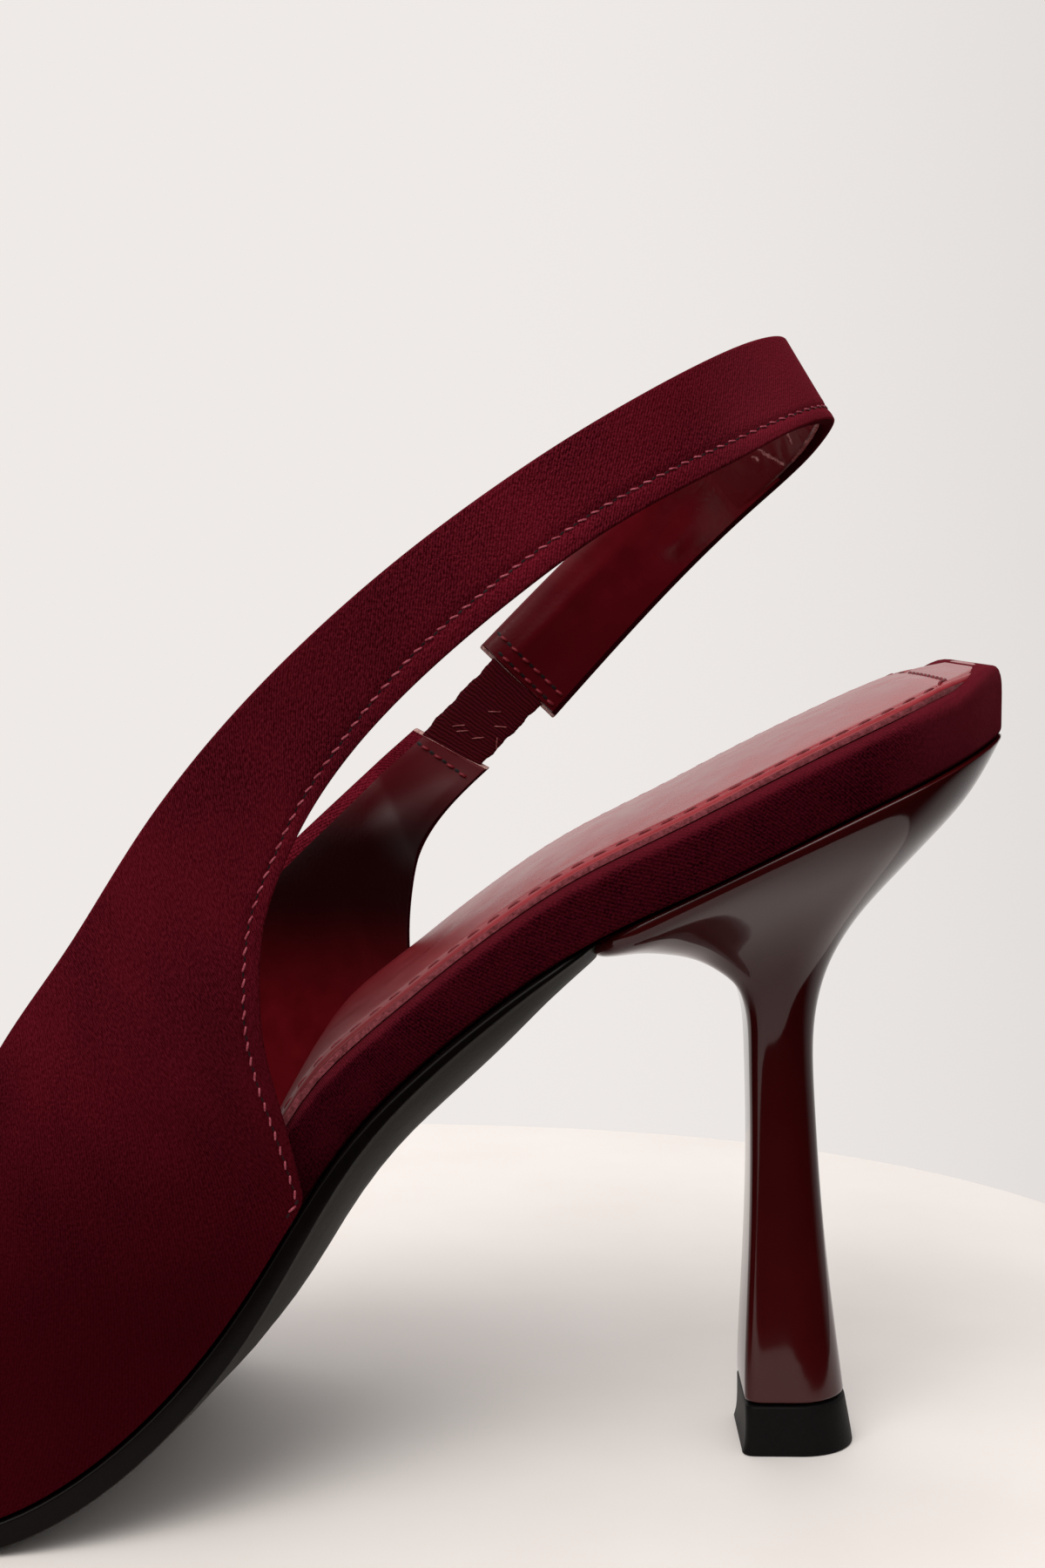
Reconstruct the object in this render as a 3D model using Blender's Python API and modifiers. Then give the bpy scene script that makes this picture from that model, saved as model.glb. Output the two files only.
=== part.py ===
"""Left slingback pump with a high curved heel.

The toe points to -X, the heel to +X and the outer side of the foot to -Y.
Stations are measured along the floor in millimetres, forward from the back of the heel seat.
"""

from bisect import bisect_right
from collections import namedtuple
from functools import lru_cache
from math import cos, pi, radians, sin, sqrt

import bmesh
import bpy
import numpy as np
from mathutils import Vector

MM = 0.001

# Driving sizes in millimetres
SEAT_BACK = 0.9
TOE_END = 234.0
ORIGIN_STATION = (SEAT_BACK + TOE_END) / 2.0
WALL = 1.6
GAP = 0.3
BED_TOE = 230.0
BED_EDGE_ROUND = 2.2
SOCK_THICKNESS = 1.1
SOCK_INSET = 1.4
SOCK_BACK = 4.4
SOCK_TOE = 222.0
SEAT_CORNER = 14.0
TOE_CORNER = 4.6
BREAST_STATION = 49.6
BREAST_CORNER = 1.8
VAMP_POINT = 152.0
CORNER_LATERAL = 82.6
CORNER_MEDIAL = 72.6
STRAP_ROOT = 60.0
TAB_ROOT = 65.0
ELASTIC_WIDTH = 9.0
ELASTIC_THICKNESS = 1.2

LATERAL = -1
MEDIAL = 1
ACROSS_WALL = 8
LAYER_STEP = 5.0

# The last's bottom: feather line height, half breadth, sideways swing, then how thick the bed is,
# how thick the sole's edge is and how far the sole's middle bellies down below its edge
Bottom = namedtuple("Bottom", "station feather half swing bed edge belly")
BOTTOM = (
    Bottom(0.0, 90.9, 23.4, 0.0, 6.8, 1.0, 3.0),
    Bottom(12.0, 85.0, 24.4, 0.0, 7.6, 1.0, 3.0),
    Bottom(25.0, 78.7, 25.2, 0.0, 7.7, 1.0, 3.0),
    Bottom(38.0, 72.3, 25.0, 0.0, 7.5, 1.0, 3.0),
    Bottom(50.0, 66.4, 23.8, -0.2, 7.1, 1.0, 3.0),
    Bottom(60.0, 59.8, 23.2, -0.5, 6.8, 1.4, 4.7),
    Bottom(70.0, 51.8, 23.1, -1.0, 6.6, 1.7, 5.0),
    Bottom(80.0, 41.2, 24.2, -1.7, 6.4, 2.3, 4.2),
    Bottom(90.0, 25.8, 27.1, -2.3, 6.2, 2.8, 2.3),
    Bottom(100.0, 14.3, 31.0, -2.4, 5.6, 3.2, 1.2),
    Bottom(110.0, 7.0, 34.3, -1.7, 5.0, 3.3, 0.5),
    Bottom(118.0, 3.8, 36.2, -0.9, 4.6, 3.2, 0.1),
    Bottom(126.0, 3.0, 37.1, -0.3, 4.4, 3.0, 0.0),
    Bottom(150.0, 3.0, 35.2, 0.7, 4.0, 3.0, 0.0),
    Bottom(165.0, 3.4, 31.4, 1.0, 3.8, 3.0, 0.0),
    Bottom(180.0, 4.1, 26.2, 1.4, 3.5, 3.0, 0.0),
    Bottom(200.0, 5.3, 18.2, 1.7, 3.2, 3.0, 0.0),
    Bottom(218.0, 6.6, 10.6, 1.9, 3.0, 3.0, 0.0),
    Bottom(236.0, 8.0, 3.6, 2.0, 3.0, 3.0, 0.0),
)

# The last's flanks: forward lean of the cut, bulge of each flank and the height it is set by,
# ridge height over the feather line, and breadth of the ridge on each side
Flank = namedtuple("Flank", "station lean bulge_lateral bulge_medial rise ridge broad_lateral broad_medial")
FLANK = (
    Flank(60.0, 0.52, 6.2, 8.0, 22.0, 112.0, 40.0, 52.0),
    Flank(72.0, 0.51, 5.0, 6.5, 21.0, 102.0, 37.0, 46.0),
    Flank(84.0, 0.46, 3.6, 5.0, 20.0, 91.0, 32.0, 38.0),
    Flank(95.0, 0.38, 3.0, 3.8, 20.0, 78.0, 30.0, 33.0),
    Flank(105.0, 0.28, 2.6, 3.2, 20.0, 66.0, 28.5, 30.0),
    Flank(115.0, 0.17, 2.2, 2.6, 19.0, 56.0, 26.5, 27.5),
    Flank(125.0, 0.08, 1.8, 2.2, 17.5, 47.0, 25.0, 26.0),
    Flank(135.0, 0.0, 1.5, 1.8, 16.0, 38.2, 24.0, 25.0),
    Flank(145.0, 0.0, 1.3, 1.5, 14.5, 32.0, 22.5, 23.5),
    Flank(152.0, 0.0, 1.2, 1.3, 13.6, 28.9, 21.5, 22.0),
    Flank(170.0, 0.0, 1.0, 1.0, 12.0, 24.6, 18.0, 18.0),
    Flank(190.0, 0.0, 0.8, 0.8, 10.5, 20.4, 13.5, 13.5),
    Flank(208.0, 0.0, 0.6, 0.6, 9.0, 16.2, 9.0, 9.0),
    Flank(222.0, 0.0, 0.4, 0.4, 7.0, 12.4, 5.6, 5.6),
    Flank(229.0, 0.0, 0.3, 0.3, 5.6, 9.6, 3.8, 3.8),
    Flank(233.0, 0.0, 0.2, 0.2, 3.8, 6.6, 2.6, 2.6),
    Flank(236.0, 0.0, 0.1, 0.1, 1.2, 2.0, 1.2, 1.2),
)

# How far the topline opens from the ridge on each side, as a squared share of the flank
Opening = namedtuple("Opening", "station lateral medial")
OPENING = (
    Opening(152.0, 0.0, 0.0),
    Opening(144.0, 0.030, 0.037),
    Opening(136.0, 0.060, 0.074),
    Opening(128.0, 0.091, 0.113),
    Opening(120.0, 0.124, 0.157),
    Opening(112.0, 0.162, 0.211),
    Opening(104.0, 0.212, 0.284),
    Opening(95.0, 0.279, 0.370),
    Opening(85.0, 0.350, 0.466),
    Opening(78.0, 0.386, 0.517),
    Opening(70.0, 0.406, 0.544),
    Opening(60.0, 0.420, 0.556),
)

# Rear edges of the quarters as seen from the side
Edge = namedtuple("Edge", "station height")
REAR_EDGE = {
    LATERAL: (
        Edge(82.6, 37.6), Edge(84.8, 48.1), Edge(87.2, 55.8), Edge(88.8, 63.0), Edge(88.3, 69.0),
        Edge(85.6, 75.5), Edge(81.6, 81.8), Edge(77.1, 88.3), Edge(72.2, 93.8), Edge(67.4, 98.4),
    ),
    MEDIAL: (
        Edge(72.6, 49.4), Edge(73.8, 59.6), Edge(73.4, 66.5), Edge(71.8, 72.6), Edge(67.6, 78.3),
        Edge(62.7, 83.0),
    ),
}

# Lower and upper edge of the sling strap, from its end on the inner side round to the outer quarter
Band = namedtuple("Band", "low_station low_y low_z top_station top_y top_z")
STRAP = (
    Band(54.4, 28.8, 89.5, 64.4, 28.2, 99.2),
    Band(45.4, 27.8, 99.6, 54.8, 27.2, 109.0),
    Band(36.7, 24.8, 109.0, 45.3, 24.2, 118.2),
    Band(27.5, 18.0, 118.0, 34.9, 17.4, 127.6),
    Band(21.2, 9.0, 124.2, 27.9, 8.6, 133.8),
    Band(19.6, 1.0, 127.3, 25.7, 1.0, 137.0),
    Band(21.3, -6.0, 127.4, 27.2, -5.8, 137.3),
    Band(24.9, -11.6, 126.1, 30.8, -11.2, 136.1),
    Band(30.7, -17.6, 123.0, 36.7, -17.0, 133.2),
    Band(38.1, -23.0, 119.1, 43.9, -22.4, 129.1),
    Band(48.1, -27.4, 113.5, 54.3, -26.8, 122.7),
    Band(57.7, -29.8, 106.6, 64.8, -29.2, 115.4),
)
TAB = (
    Band(67.6, 27.9, 78.3, 75.4, 29.2, 86.2),
    Band(62.7, 28.2, 83.0, 72.9, 29.0, 88.4),
)

# Heel cuts from the seat to the foot: breast and back points, half widths, rounding of the back
HeelCut = namedtuple("HeelCut", "breast_station breast_z back_station back_z breast_half half back_round")
HEEL = (
    HeelCut(49.6, 66.2, 1.1, 90.0, 23.4, 25.0, 14.0),
    HeelCut(49.2, 64.0, 1.8, 88.4, 22.6, 24.4, 13.8),
    HeelCut(45.4, 63.8, 4.0, 83.6, 19.6, 21.8, 13.2),
    HeelCut(41.0, 63.3, 7.4, 78.6, 16.0, 18.2, 12.0),
    HeelCut(36.8, 62.0, 11.9, 73.0, 12.2, 14.2, 10.5),
    HeelCut(33.4, 59.9, 15.9, 68.0, 9.6, 11.0, 8.8),
    HeelCut(31.4, 57.6, 18.8, 63.4, 7.8, 8.9, 7.4),
    HeelCut(30.4, 53.8, 20.8, 58.4, 6.4, 7.4, 6.4),
    HeelCut(30.1, 48.6, 21.8, 51.6, 5.6, 6.2, 5.6),
    HeelCut(29.9, 41.0, 21.5, 42.6, 5.2, 5.6, 5.2),
    HeelCut(29.9, 31.0, 20.7, 31.6, 5.4, 5.7, 5.3),
    HeelCut(30.2, 20.0, 19.5, 20.2, 6.2, 6.4, 5.9),
    HeelCut(30.5, 11.0, 18.3, 11.0, 7.0, 7.1, 6.4),
    HeelCut(30.5, 6.5, 17.7, 6.5, 7.4, 7.5, 6.6),
)
TOP_LIFT = (
    HeelCut(30.5, 6.2, 17.6, 6.2, 7.5, 7.6, 6.7),
    HeelCut(30.5, 2.0, 16.8, 2.0, 7.7, 7.8, 6.9),
    HeelCut(30.9, 0.0, 16.5, 0.0, 7.9, 8.0, 7.0),
)

Skin = namedtuple("Skin", "name colour roughness")
SATIN = Skin("burgundy satin", (0.048, 0.0024, 0.0044), 0.55)
LEATHER = Skin("burgundy lining leather", (0.07, 0.008, 0.009), 0.38)
LACQUER = Skin("burgundy heel lacquer", (0.022, 0.003, 0.003), 0.12)
RUBBER = Skin("black sole rubber", (0.012, 0.011, 0.010), 0.45)
WEBBING = Skin("burgundy elastic webbing", (0.04, 0.003, 0.005), 0.8)


def natural_curve(places, values):
    """Natural cubic curve through values at rising places, held level beyond its ends."""
    places = np.array(places, dtype=float)
    values = np.array(values, dtype=float)
    gaps = np.diff(places)
    count = len(places)
    system = np.eye(count)
    right = np.zeros_like(values)
    for i in range(1, count - 1):
        before, after = gaps[i - 1], gaps[i]
        system[i, i - 1:i + 2] = before, 2.0 * (before + after), after
        right[i] = 6.0 * ((values[i + 1] - values[i]) / after - (values[i] - values[i - 1]) / before)
    bend = np.tensordot(np.linalg.inv(system), right, axes=1)

    def at(place):
        place = min(max(place, places[0]), places[-1])
        k = min(bisect_right(places, place), count - 1) - 1
        gap = gaps[k]
        t = place - places[k]
        u = gap - t
        line = (values[k] * u + values[k + 1] * t) / gap
        return line + (bend[k] * (u ** 3 / gap - gap * u) + bend[k + 1] * (t ** 3 / gap - gap * t)) / 6.0

    return at


@lru_cache(maxsize=None)
def column_curve(table, name, key):
    rows = sorted(table, key=lambda row: getattr(row, key))
    return natural_curve([getattr(row, key) for row in rows], [getattr(row, name) for row in rows])


def smooth(table, name, at, key="station"):
    """One column of a table, read between its rows."""
    return float(column_curve(table, name, key)(at))


def crossing(function, low=0.0, high=1.0):
    """Where a function that starts below zero first gets above it."""
    for _ in range(40):
        middle = 0.5 * (low + high)
        if function(middle) < 0.0:
            low = middle
        else:
            high = middle
    return 0.5 * (low + high)


def eased(start, end, count):
    """Values from start to end, close together near both."""
    return [start + (end - start) * 0.5 * (1.0 - cos(pi * i / count)) for i in range(count + 1)]


def world(station, y, z):
    """World point in metres from a station, a sideways distance and a height in millimetres."""
    return Vector((ORIGIN_STATION - station, y, z)) * MM


def feather(station):
    """Height of the line where upper and footbed meet the sole."""
    return smooth(BOTTOM, "feather", station)


def slant(station):
    """How much taller an upright cut through a layer is than the layer is thick."""
    fall = feather(station - 0.5) - feather(station + 0.5)
    return sqrt(1.0 + fall * fall)


def end_round(distance, corner):
    """How far an outline draws in at a distance from its rounded end."""
    reach = min(corner, max(0.0, corner - distance))
    return corner - sqrt(corner * corner - reach * reach)


def half_breadth(station, grow, back=SEAT_BACK, toe=TOE_END):
    """Half breadth of a sole outline grown by an amount, between its back and its toe."""
    half = smooth(BOTTOM, "half", station) + grow
    return half - end_round(station - back, SEAT_CORNER) - end_round(toe - station, TOE_CORNER)


def layer_stations(back, toe, ends=8):
    """Stations of a sole layer, shared by all layers, with more of them at its rounded ends."""
    reach = 12.0
    shared = [LAYER_STEP * i for i in range(int(TOE_END / LAYER_STEP) + 1)]
    inner = [station for station in shared if back + reach < station < toe - reach]
    first = [back + reach * (i / ends) ** 2 for i in range(ends)]
    last = [toe - reach * (i / ends) ** 2 for i in reversed(range(ends))]
    return first + inner + last


def finish(name, bm, skin, collection):
    """A named object from a bmesh, with its own material."""
    mesh = bpy.data.meshes.new(name)
    bm.to_mesh(mesh)
    bm.free()
    mesh.shade_smooth()
    mesh.set_sharp_from_angle(angle=radians(40.0))
    material = bpy.data.materials.new(f"{skin.name} of {name}")
    material.use_nodes = True
    shader = material.node_tree.nodes["Principled BSDF"]
    shader.inputs["Base Color"].default_value = (*skin.colour, 1.0)
    shader.inputs["Roughness"].default_value = skin.roughness
    shader.inputs["Metallic"].default_value = 0.0
    mesh.materials.append(material)
    obj = bpy.data.objects.new(name, mesh)
    collection.objects.link(obj)
    return obj


def loft(name, rings, skin, collection):
    """A closed solid through rings of points, capped at both ends."""
    bm = bmesh.new()
    rows = [[bm.verts.new(point) for point in ring] for ring in rings]
    for row, following in zip(rows, rows[1:]):
        for i in range(len(row)):
            j = (i + 1) % len(row)
            bm.faces.new((row[i], row[j], following[j], following[i]))
    bmesh.ops.triangulate(bm, faces=[bm.faces.new(rows[0]), bm.faces.new(rows[-1])])
    bmesh.ops.recalc_face_normals(bm, faces=bm.faces)
    return finish(name, bm, skin, collection)


def wall_shell(name, ribs, thickness, skin, collection):
    """A wall of one thickness inside a skin through ribs, each a row of points from low to top."""
    bm = bmesh.new()
    rows = [[bm.verts.new(world(*point)) for point in rib] for rib in ribs]
    for row, following in zip(rows, rows[1:]):
        for j in range(len(row) - 1):
            bm.faces.new((row[j], row[j + 1], following[j + 1], following[j]))
    bmesh.ops.remove_doubles(bm, verts=bm.verts, dist=1e-6)
    obj = finish(name, bm, skin, collection)
    shell = obj.modifiers.new("wall", "SOLIDIFY")
    shell.thickness = thickness * MM
    shell.offset = -1.0
    shell.use_even_offset = True
    shell.use_quality_normals = True
    return obj


def layer_ring(station, low, high, half, edge, belly):
    """Upright cut through a sole layer: flat or bellied below, with rounded upper edges."""
    swing = smooth(BOTTOM, "swing", station)
    corner = 3
    ring = []
    for share in eased(-1.0, 1.0, 8):
        ring.append(world(station, swing + half * share, low - belly * (1.0 - share ** 4)))
    for side in (MEDIAL, LATERAL):
        arc = []
        for i in range(corner + 1):
            angle = 0.5 * pi * i / corner
            inset = edge * (1.0 - cos(angle))
            arc.append(world(station, swing + side * (half - inset), high - edge * (1.0 - sin(angle))))
        ring.extend(arc if side == MEDIAL else reversed(arc))
    return ring


def make_outsole(collection):
    """Thin sole from the heel's breast to the toe, flat under the ball, bellied in the waist."""
    waist_length = 22.0
    edge_round = 0.5
    rings = []
    for station in layer_stations(BREAST_STATION + GAP, TOE_END):
        spread = min(1.0, (station - BREAST_STATION) / waist_length)
        half = half_breadth(station, (WALL + 2.0 * GAP) * spread)
        low = max(0.0, feather(station) - smooth(BOTTOM, "edge", station) * slant(station))
        belly = min(low, max(0.0, smooth(BOTTOM, "belly", station)) * slant(station))
        high = feather(station) - GAP * slant(station)
        rings.append(layer_ring(station, low, high, half, edge_round, belly))
    return loft("outsole", rings, RUBBER, collection)


def bed_top(station):
    return feather(station) + smooth(BOTTOM, "bed", station) * slant(station)


def make_footbed(collection):
    """Covered insole board, whose edge is the rim that shows behind the quarters."""
    rings = []
    for station in layer_stations(SEAT_BACK, BED_TOE):
        half = half_breadth(station, 0.0, toe=BED_TOE)
        rings.append(layer_ring(station, feather(station), bed_top(station), half, BED_EDGE_ROUND, 0.0))
    return loft("footbed", rings, SATIN, collection)


def make_sock(collection):
    """Leather sock lining on the footbed."""
    edge_round = 0.4
    rings = []
    for station in layer_stations(SOCK_BACK, SOCK_TOE):
        half = half_breadth(station, -SOCK_INSET, SOCK_BACK, SOCK_TOE)
        low = bed_top(station) + GAP * slant(station)
        high = low + SOCK_THICKNESS * slant(station)
        rings.append(layer_ring(station, low, high, half, edge_round, 0.0))
    return loft("sock", rings, LEATHER, collection)


def heel_ring(cut):
    """D-shaped cut through the heel in the plane from its breast to its back."""
    steps = 14
    length = sqrt((cut.breast_station - cut.back_station) ** 2 + (cut.back_z - cut.breast_z) ** 2)
    flank = []
    for share in eased(0.0, 1.0, steps):
        half = cut.breast_half + (cut.half - cut.breast_half) * min(1.0, 2.0 * share)
        half -= end_round(share * length, BREAST_CORNER) + end_round((1.0 - share) * length, cut.back_round)
        station = cut.breast_station + (cut.back_station - cut.breast_station) * share
        height = cut.breast_z + (cut.back_z - cut.breast_z) * share
        flank.append((station, half, height))
    near = [world(station, -half, height) for station, half, height in flank]
    far = [world(station, half, height) for station, half, height in reversed(flank)]
    return near + far


def heel_rings(cuts, per_cut):
    """Rings of a heel piece, with more of them on smooth curves between the given cuts."""
    curve = natural_curve(range(len(cuts)), cuts)
    count = (len(cuts) - 1) * per_cut
    return [heel_ring(HeelCut(*curve(i / per_cut))) for i in range(count + 1)]


def flank_point(station, side, t):
    """Point of the last's flank, from the feather line at t = 0 to the ridge at t = 1."""
    name = "lateral" if side == LATERAL else "medial"
    foot = half_breadth(station, WALL + 2.0 * GAP)
    bulge = smooth(FLANK, f"bulge_{name}", station)
    broad = smooth(FLANK, f"broad_{name}", station)
    rise = smooth(FLANK, "rise", station)
    ridge = smooth(FLANK, "ridge", station)
    start, second, third, end = (1 - t) ** 3, 3 * t * (1 - t) ** 2, 3 * t * t * (1 - t), t ** 3
    out = start * foot + second * (foot + bulge) + third * broad
    height = second * rise + (third + end) * ridge
    forward = smooth(FLANK, "lean", station) * height
    return station + forward, smooth(BOTTOM, "swing", station) + side * out, feather(station) + height


def wall_rib(station, side):
    """Points up the wall at a station, from its sole or rear edge to its topline."""
    name = "lateral" if side == LATERAL else "medial"
    top = 1.0 - sqrt(max(0.0, smooth(OPENING, name, station)))

    def before_rear_edge(t):
        forward, _, height = flank_point(station, side, t)
        return forward - smooth(REAR_EDGE[side], "station", height, key="height")

    corner = CORNER_LATERAL if side == LATERAL else CORNER_MEDIAL
    low = 0.0 if station >= corner else crossing(before_rear_edge, high=top)
    return [flank_point(station, side, low + (top - low) * j / ACROSS_WALL) for j in range(ACROSS_WALL + 1)]


def band_rib(band):
    """Points straight across a strap from its lower to its upper edge."""
    low = Vector((band.low_station, band.low_y, band.low_z))
    top = Vector((band.top_station, band.top_y, band.top_z))
    return [tuple(low.lerp(top, j / ACROSS_WALL)) for j in range(ACROSS_WALL + 1)]


def run_of_ribs(rows, first, last, per_row):
    """Ribs read from smooth curves through given ribs, between two of their row numbers."""
    middles = np.array([row[ACROSS_WALL // 2] for row in rows])
    run = np.concatenate(([0.0], np.cumsum(np.linalg.norm(np.diff(middles, axis=0), axis=1))))
    curve = natural_curve(run, rows)
    count = (last - first) * per_row
    places = [np.interp(first + i / per_row, range(len(rows)), run) for i in range(count + 1)]
    return [[tuple(point) for point in curve(place)] for place in places]


def make_upper(collection):
    """Vamp, quarters and sling strap as one wall, from the strap's end round the toe to the tab."""
    root_step = 4.0
    strap_rows = [band_rib(band) for band in STRAP]
    strap_rows += [wall_rib(STRAP_ROOT + root_step * i, LATERAL) for i in range(3)]
    strap = run_of_ribs(strap_rows, 0, len(STRAP), 4)
    lateral = eased(STRAP_ROOT, CORNER_LATERAL, 8)[1:]
    lateral += eased(CORNER_LATERAL, VAMP_POINT, 18)[1:] + eased(VAMP_POINT, TOE_END, 18)[1:]
    medial = eased(TOE_END, VAMP_POINT, 18) + eased(VAMP_POINT, CORNER_MEDIAL, 18)[1:]
    medial += eased(CORNER_MEDIAL, TAB_ROOT, 4)[1:]
    tab_rows = [wall_rib(TAB_ROOT + root_step * i, MEDIAL) for i in (2, 1, 0)]
    tab_rows += [band_rib(band) for band in TAB]
    tab = run_of_ribs(tab_rows, 2, len(tab_rows) - 1, 3)[1:]
    ribs = strap + [wall_rib(station, LATERAL) for station in lateral]
    ribs += [wall_rib(station, MEDIAL) for station in medial] + tab
    return wall_shell("upper", ribs, WALL, SATIN, collection)


def make_elastic(collection):
    """Elastic from the end of the strap down to the tab."""
    strap_end, tab_end = STRAP[0], TAB[-1]
    ends = []
    for band in (strap_end, tab_end):
        low = Vector((band.low_station, band.low_y, band.low_z))
        top = Vector((band.top_station, band.top_y, band.top_z))
        ends.append(((low + top) / 2.0, (top - low).normalized()))
    (start, start_across), (end, end_across) = ends
    along = (end - start).normalized()
    inward = Vector((0.0, -0.5 * (WALL - ELASTIC_THICKNESS), 0.0))
    start += along * GAP + inward
    end -= along * GAP * 2.0 - inward
    steps, across = 6, 4
    ribs = []
    for i in range(steps + 1):
        share = i / steps
        centre = start.lerp(end, share)
        side = start_across.lerp(end_across, share).normalized() * ELASTIC_WIDTH
        ribs.append([tuple(centre + side * (j / across - 0.5)) for j in range(across + 1)])
    return wall_shell("elastic", ribs[::-1], ELASTIC_THICKNESS, WEBBING, collection)


def main():
    for obj in list(bpy.data.objects):
        bpy.data.objects.remove(obj, do_unlink=True)
    collection = bpy.data.collections.new("slingback_pump")
    bpy.context.scene.collection.children.link(collection)
    make_outsole(collection)
    loft("heel", heel_rings(HEEL, 2), LACQUER, collection)
    loft("top_lift", heel_rings(TOP_LIFT, 1), RUBBER, collection)
    make_footbed(collection)
    make_sock(collection)
    make_upper(collection)
    make_elastic(collection)


main()
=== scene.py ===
# %% [markdown]
# A satin slingback pump, dressed around its CAD model.
# The real shoe is a pointed upper of burgundy satin over a leather lining, with a strap round the heel
# of the foot, a leather sock on a satin-covered insole board, a thin black sole and a lacquered heel.
# The CAD model gives every main piece its place, in metres, so each is built where its CAD node already
# is and then takes that node's place in the picture. Stitches, a few threads and the grip inside the
# strap are too thin for the CAD model, and are added here.

# %% Load the CAD frame
from math import cos, exp, pi, radians, sin, sqrt

import bmesh
import bpy
import numpy as np
from mathutils import Matrix, Vector, noise
from mathutils.bvhtree import BVHTree


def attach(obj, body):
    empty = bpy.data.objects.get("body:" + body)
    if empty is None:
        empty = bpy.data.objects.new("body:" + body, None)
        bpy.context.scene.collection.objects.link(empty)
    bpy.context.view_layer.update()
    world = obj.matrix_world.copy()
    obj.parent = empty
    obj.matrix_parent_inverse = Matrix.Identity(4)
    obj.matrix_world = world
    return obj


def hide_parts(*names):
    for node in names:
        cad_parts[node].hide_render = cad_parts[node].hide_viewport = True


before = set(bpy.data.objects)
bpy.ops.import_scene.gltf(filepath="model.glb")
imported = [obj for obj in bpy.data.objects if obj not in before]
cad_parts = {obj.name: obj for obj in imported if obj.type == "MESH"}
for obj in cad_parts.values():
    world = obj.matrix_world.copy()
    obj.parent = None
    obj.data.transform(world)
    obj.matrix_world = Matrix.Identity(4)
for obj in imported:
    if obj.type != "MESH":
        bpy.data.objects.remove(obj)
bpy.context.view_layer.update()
print("CAD nodes:", sorted(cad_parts))

# %% [markdown]
# The camera comes first, so that every later step can be looked at from where the photographer stood.
# The place and the angles were fitted to the sole, the seat and the strap. The lens is given for a
# sensor 36 mm high, and the toe is cut by the left edge of the picture, as in the photograph.

# %% Camera
camera_data = bpy.data.cameras.new("camera")
camera_data.sensor_fit = "VERTICAL"
camera_data.sensor_height = 36.0
camera_data.lens = 52.8
camera = bpy.data.objects.new("camera", camera_data)
bpy.context.scene.collection.objects.link(camera)
bpy.context.scene.camera = camera

yaw, pitch, roll = radians(-0.645), radians(4.519), radians(-0.078)
ahead = Vector((sin(yaw) * cos(pitch), cos(yaw) * cos(pitch), -sin(pitch)))
level = Vector((cos(yaw), -sin(yaw), 0.0))
upright = level.cross(ahead)
camera_right = level * cos(roll) + upright * sin(roll)
camera_up = upright * cos(roll) - level * sin(roll)
camera.matrix_world = Matrix.Translation((0.06255, -0.2851, 0.1054)) @ Matrix(
    (camera_right, camera_up, -ahead)).transposed().to_4x4()
print("camera looks along", [round(part, 3) for part in ahead])

# %% [markdown]
# A shoe is drawn by stations: distances in millimetres from the back of the heel seat towards the toe.
# A shoemaker gives a few measures at a few stations and lets a flexible spline join them. A natural
# cubic curve is that spline in numbers: it bends evenly, so no highlight will show where the given
# measures are. They are nearly the curves of the CAD source, which keeps the two models in register.

# %% Smooth curves through a few measures
MM = 0.001
MIDDLE_STATION = 117.45
LATERAL, MEDIAL = -1, 1


def natural_curve(places, values):
    """Curve through values at places, straight at its two ends. It reads one place or an array."""
    places, values = np.asarray(places, float), np.asarray(values, float)
    steps = np.diff(places)
    slopes = np.diff(values, axis=0) / steps.reshape((-1,) + (1,) * (values.ndim - 1))
    system, right = np.eye(len(places)), np.zeros_like(values)
    for i in range(1, len(places) - 1):
        system[i, i - 1:i + 2] = steps[i - 1], 2.0 * (steps[i - 1] + steps[i]), steps[i]
        right[i] = 6.0 * (slopes[i] - slopes[i - 1])
    bend = np.tensordot(np.linalg.inv(system), right, axes=1)

    def at(place):
        place = np.clip(place, places[0], places[-1])
        i = np.clip(np.searchsorted(places, place, side="right") - 1, 0, len(places) - 2)
        after = (place - places[i]) / steps[i]
        before = 1.0 - after
        curved = (before ** 3 - before) * bend[i] + (after ** 3 - after) * bend[i + 1]
        return before * values[i] + after * values[i + 1] + curved * steps[i] ** 2 / 6.0

    return at


def curves(columns, rows):
    """One curve for each named column, read by the first number of the rows."""
    rows = np.array(sorted(rows))
    return {name: natural_curve(rows[:, 0], rows[:, i + 1]) for i, name in enumerate(columns.split())}


def in_frame(points):
    """Station, breadth and height in millimetres, turned to the frame's metres."""
    points = np.asarray(points, float)
    return np.stack((MIDDLE_STATION - points[..., 0], points[..., 1], points[..., 2]), axis=-1) * MM


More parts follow.
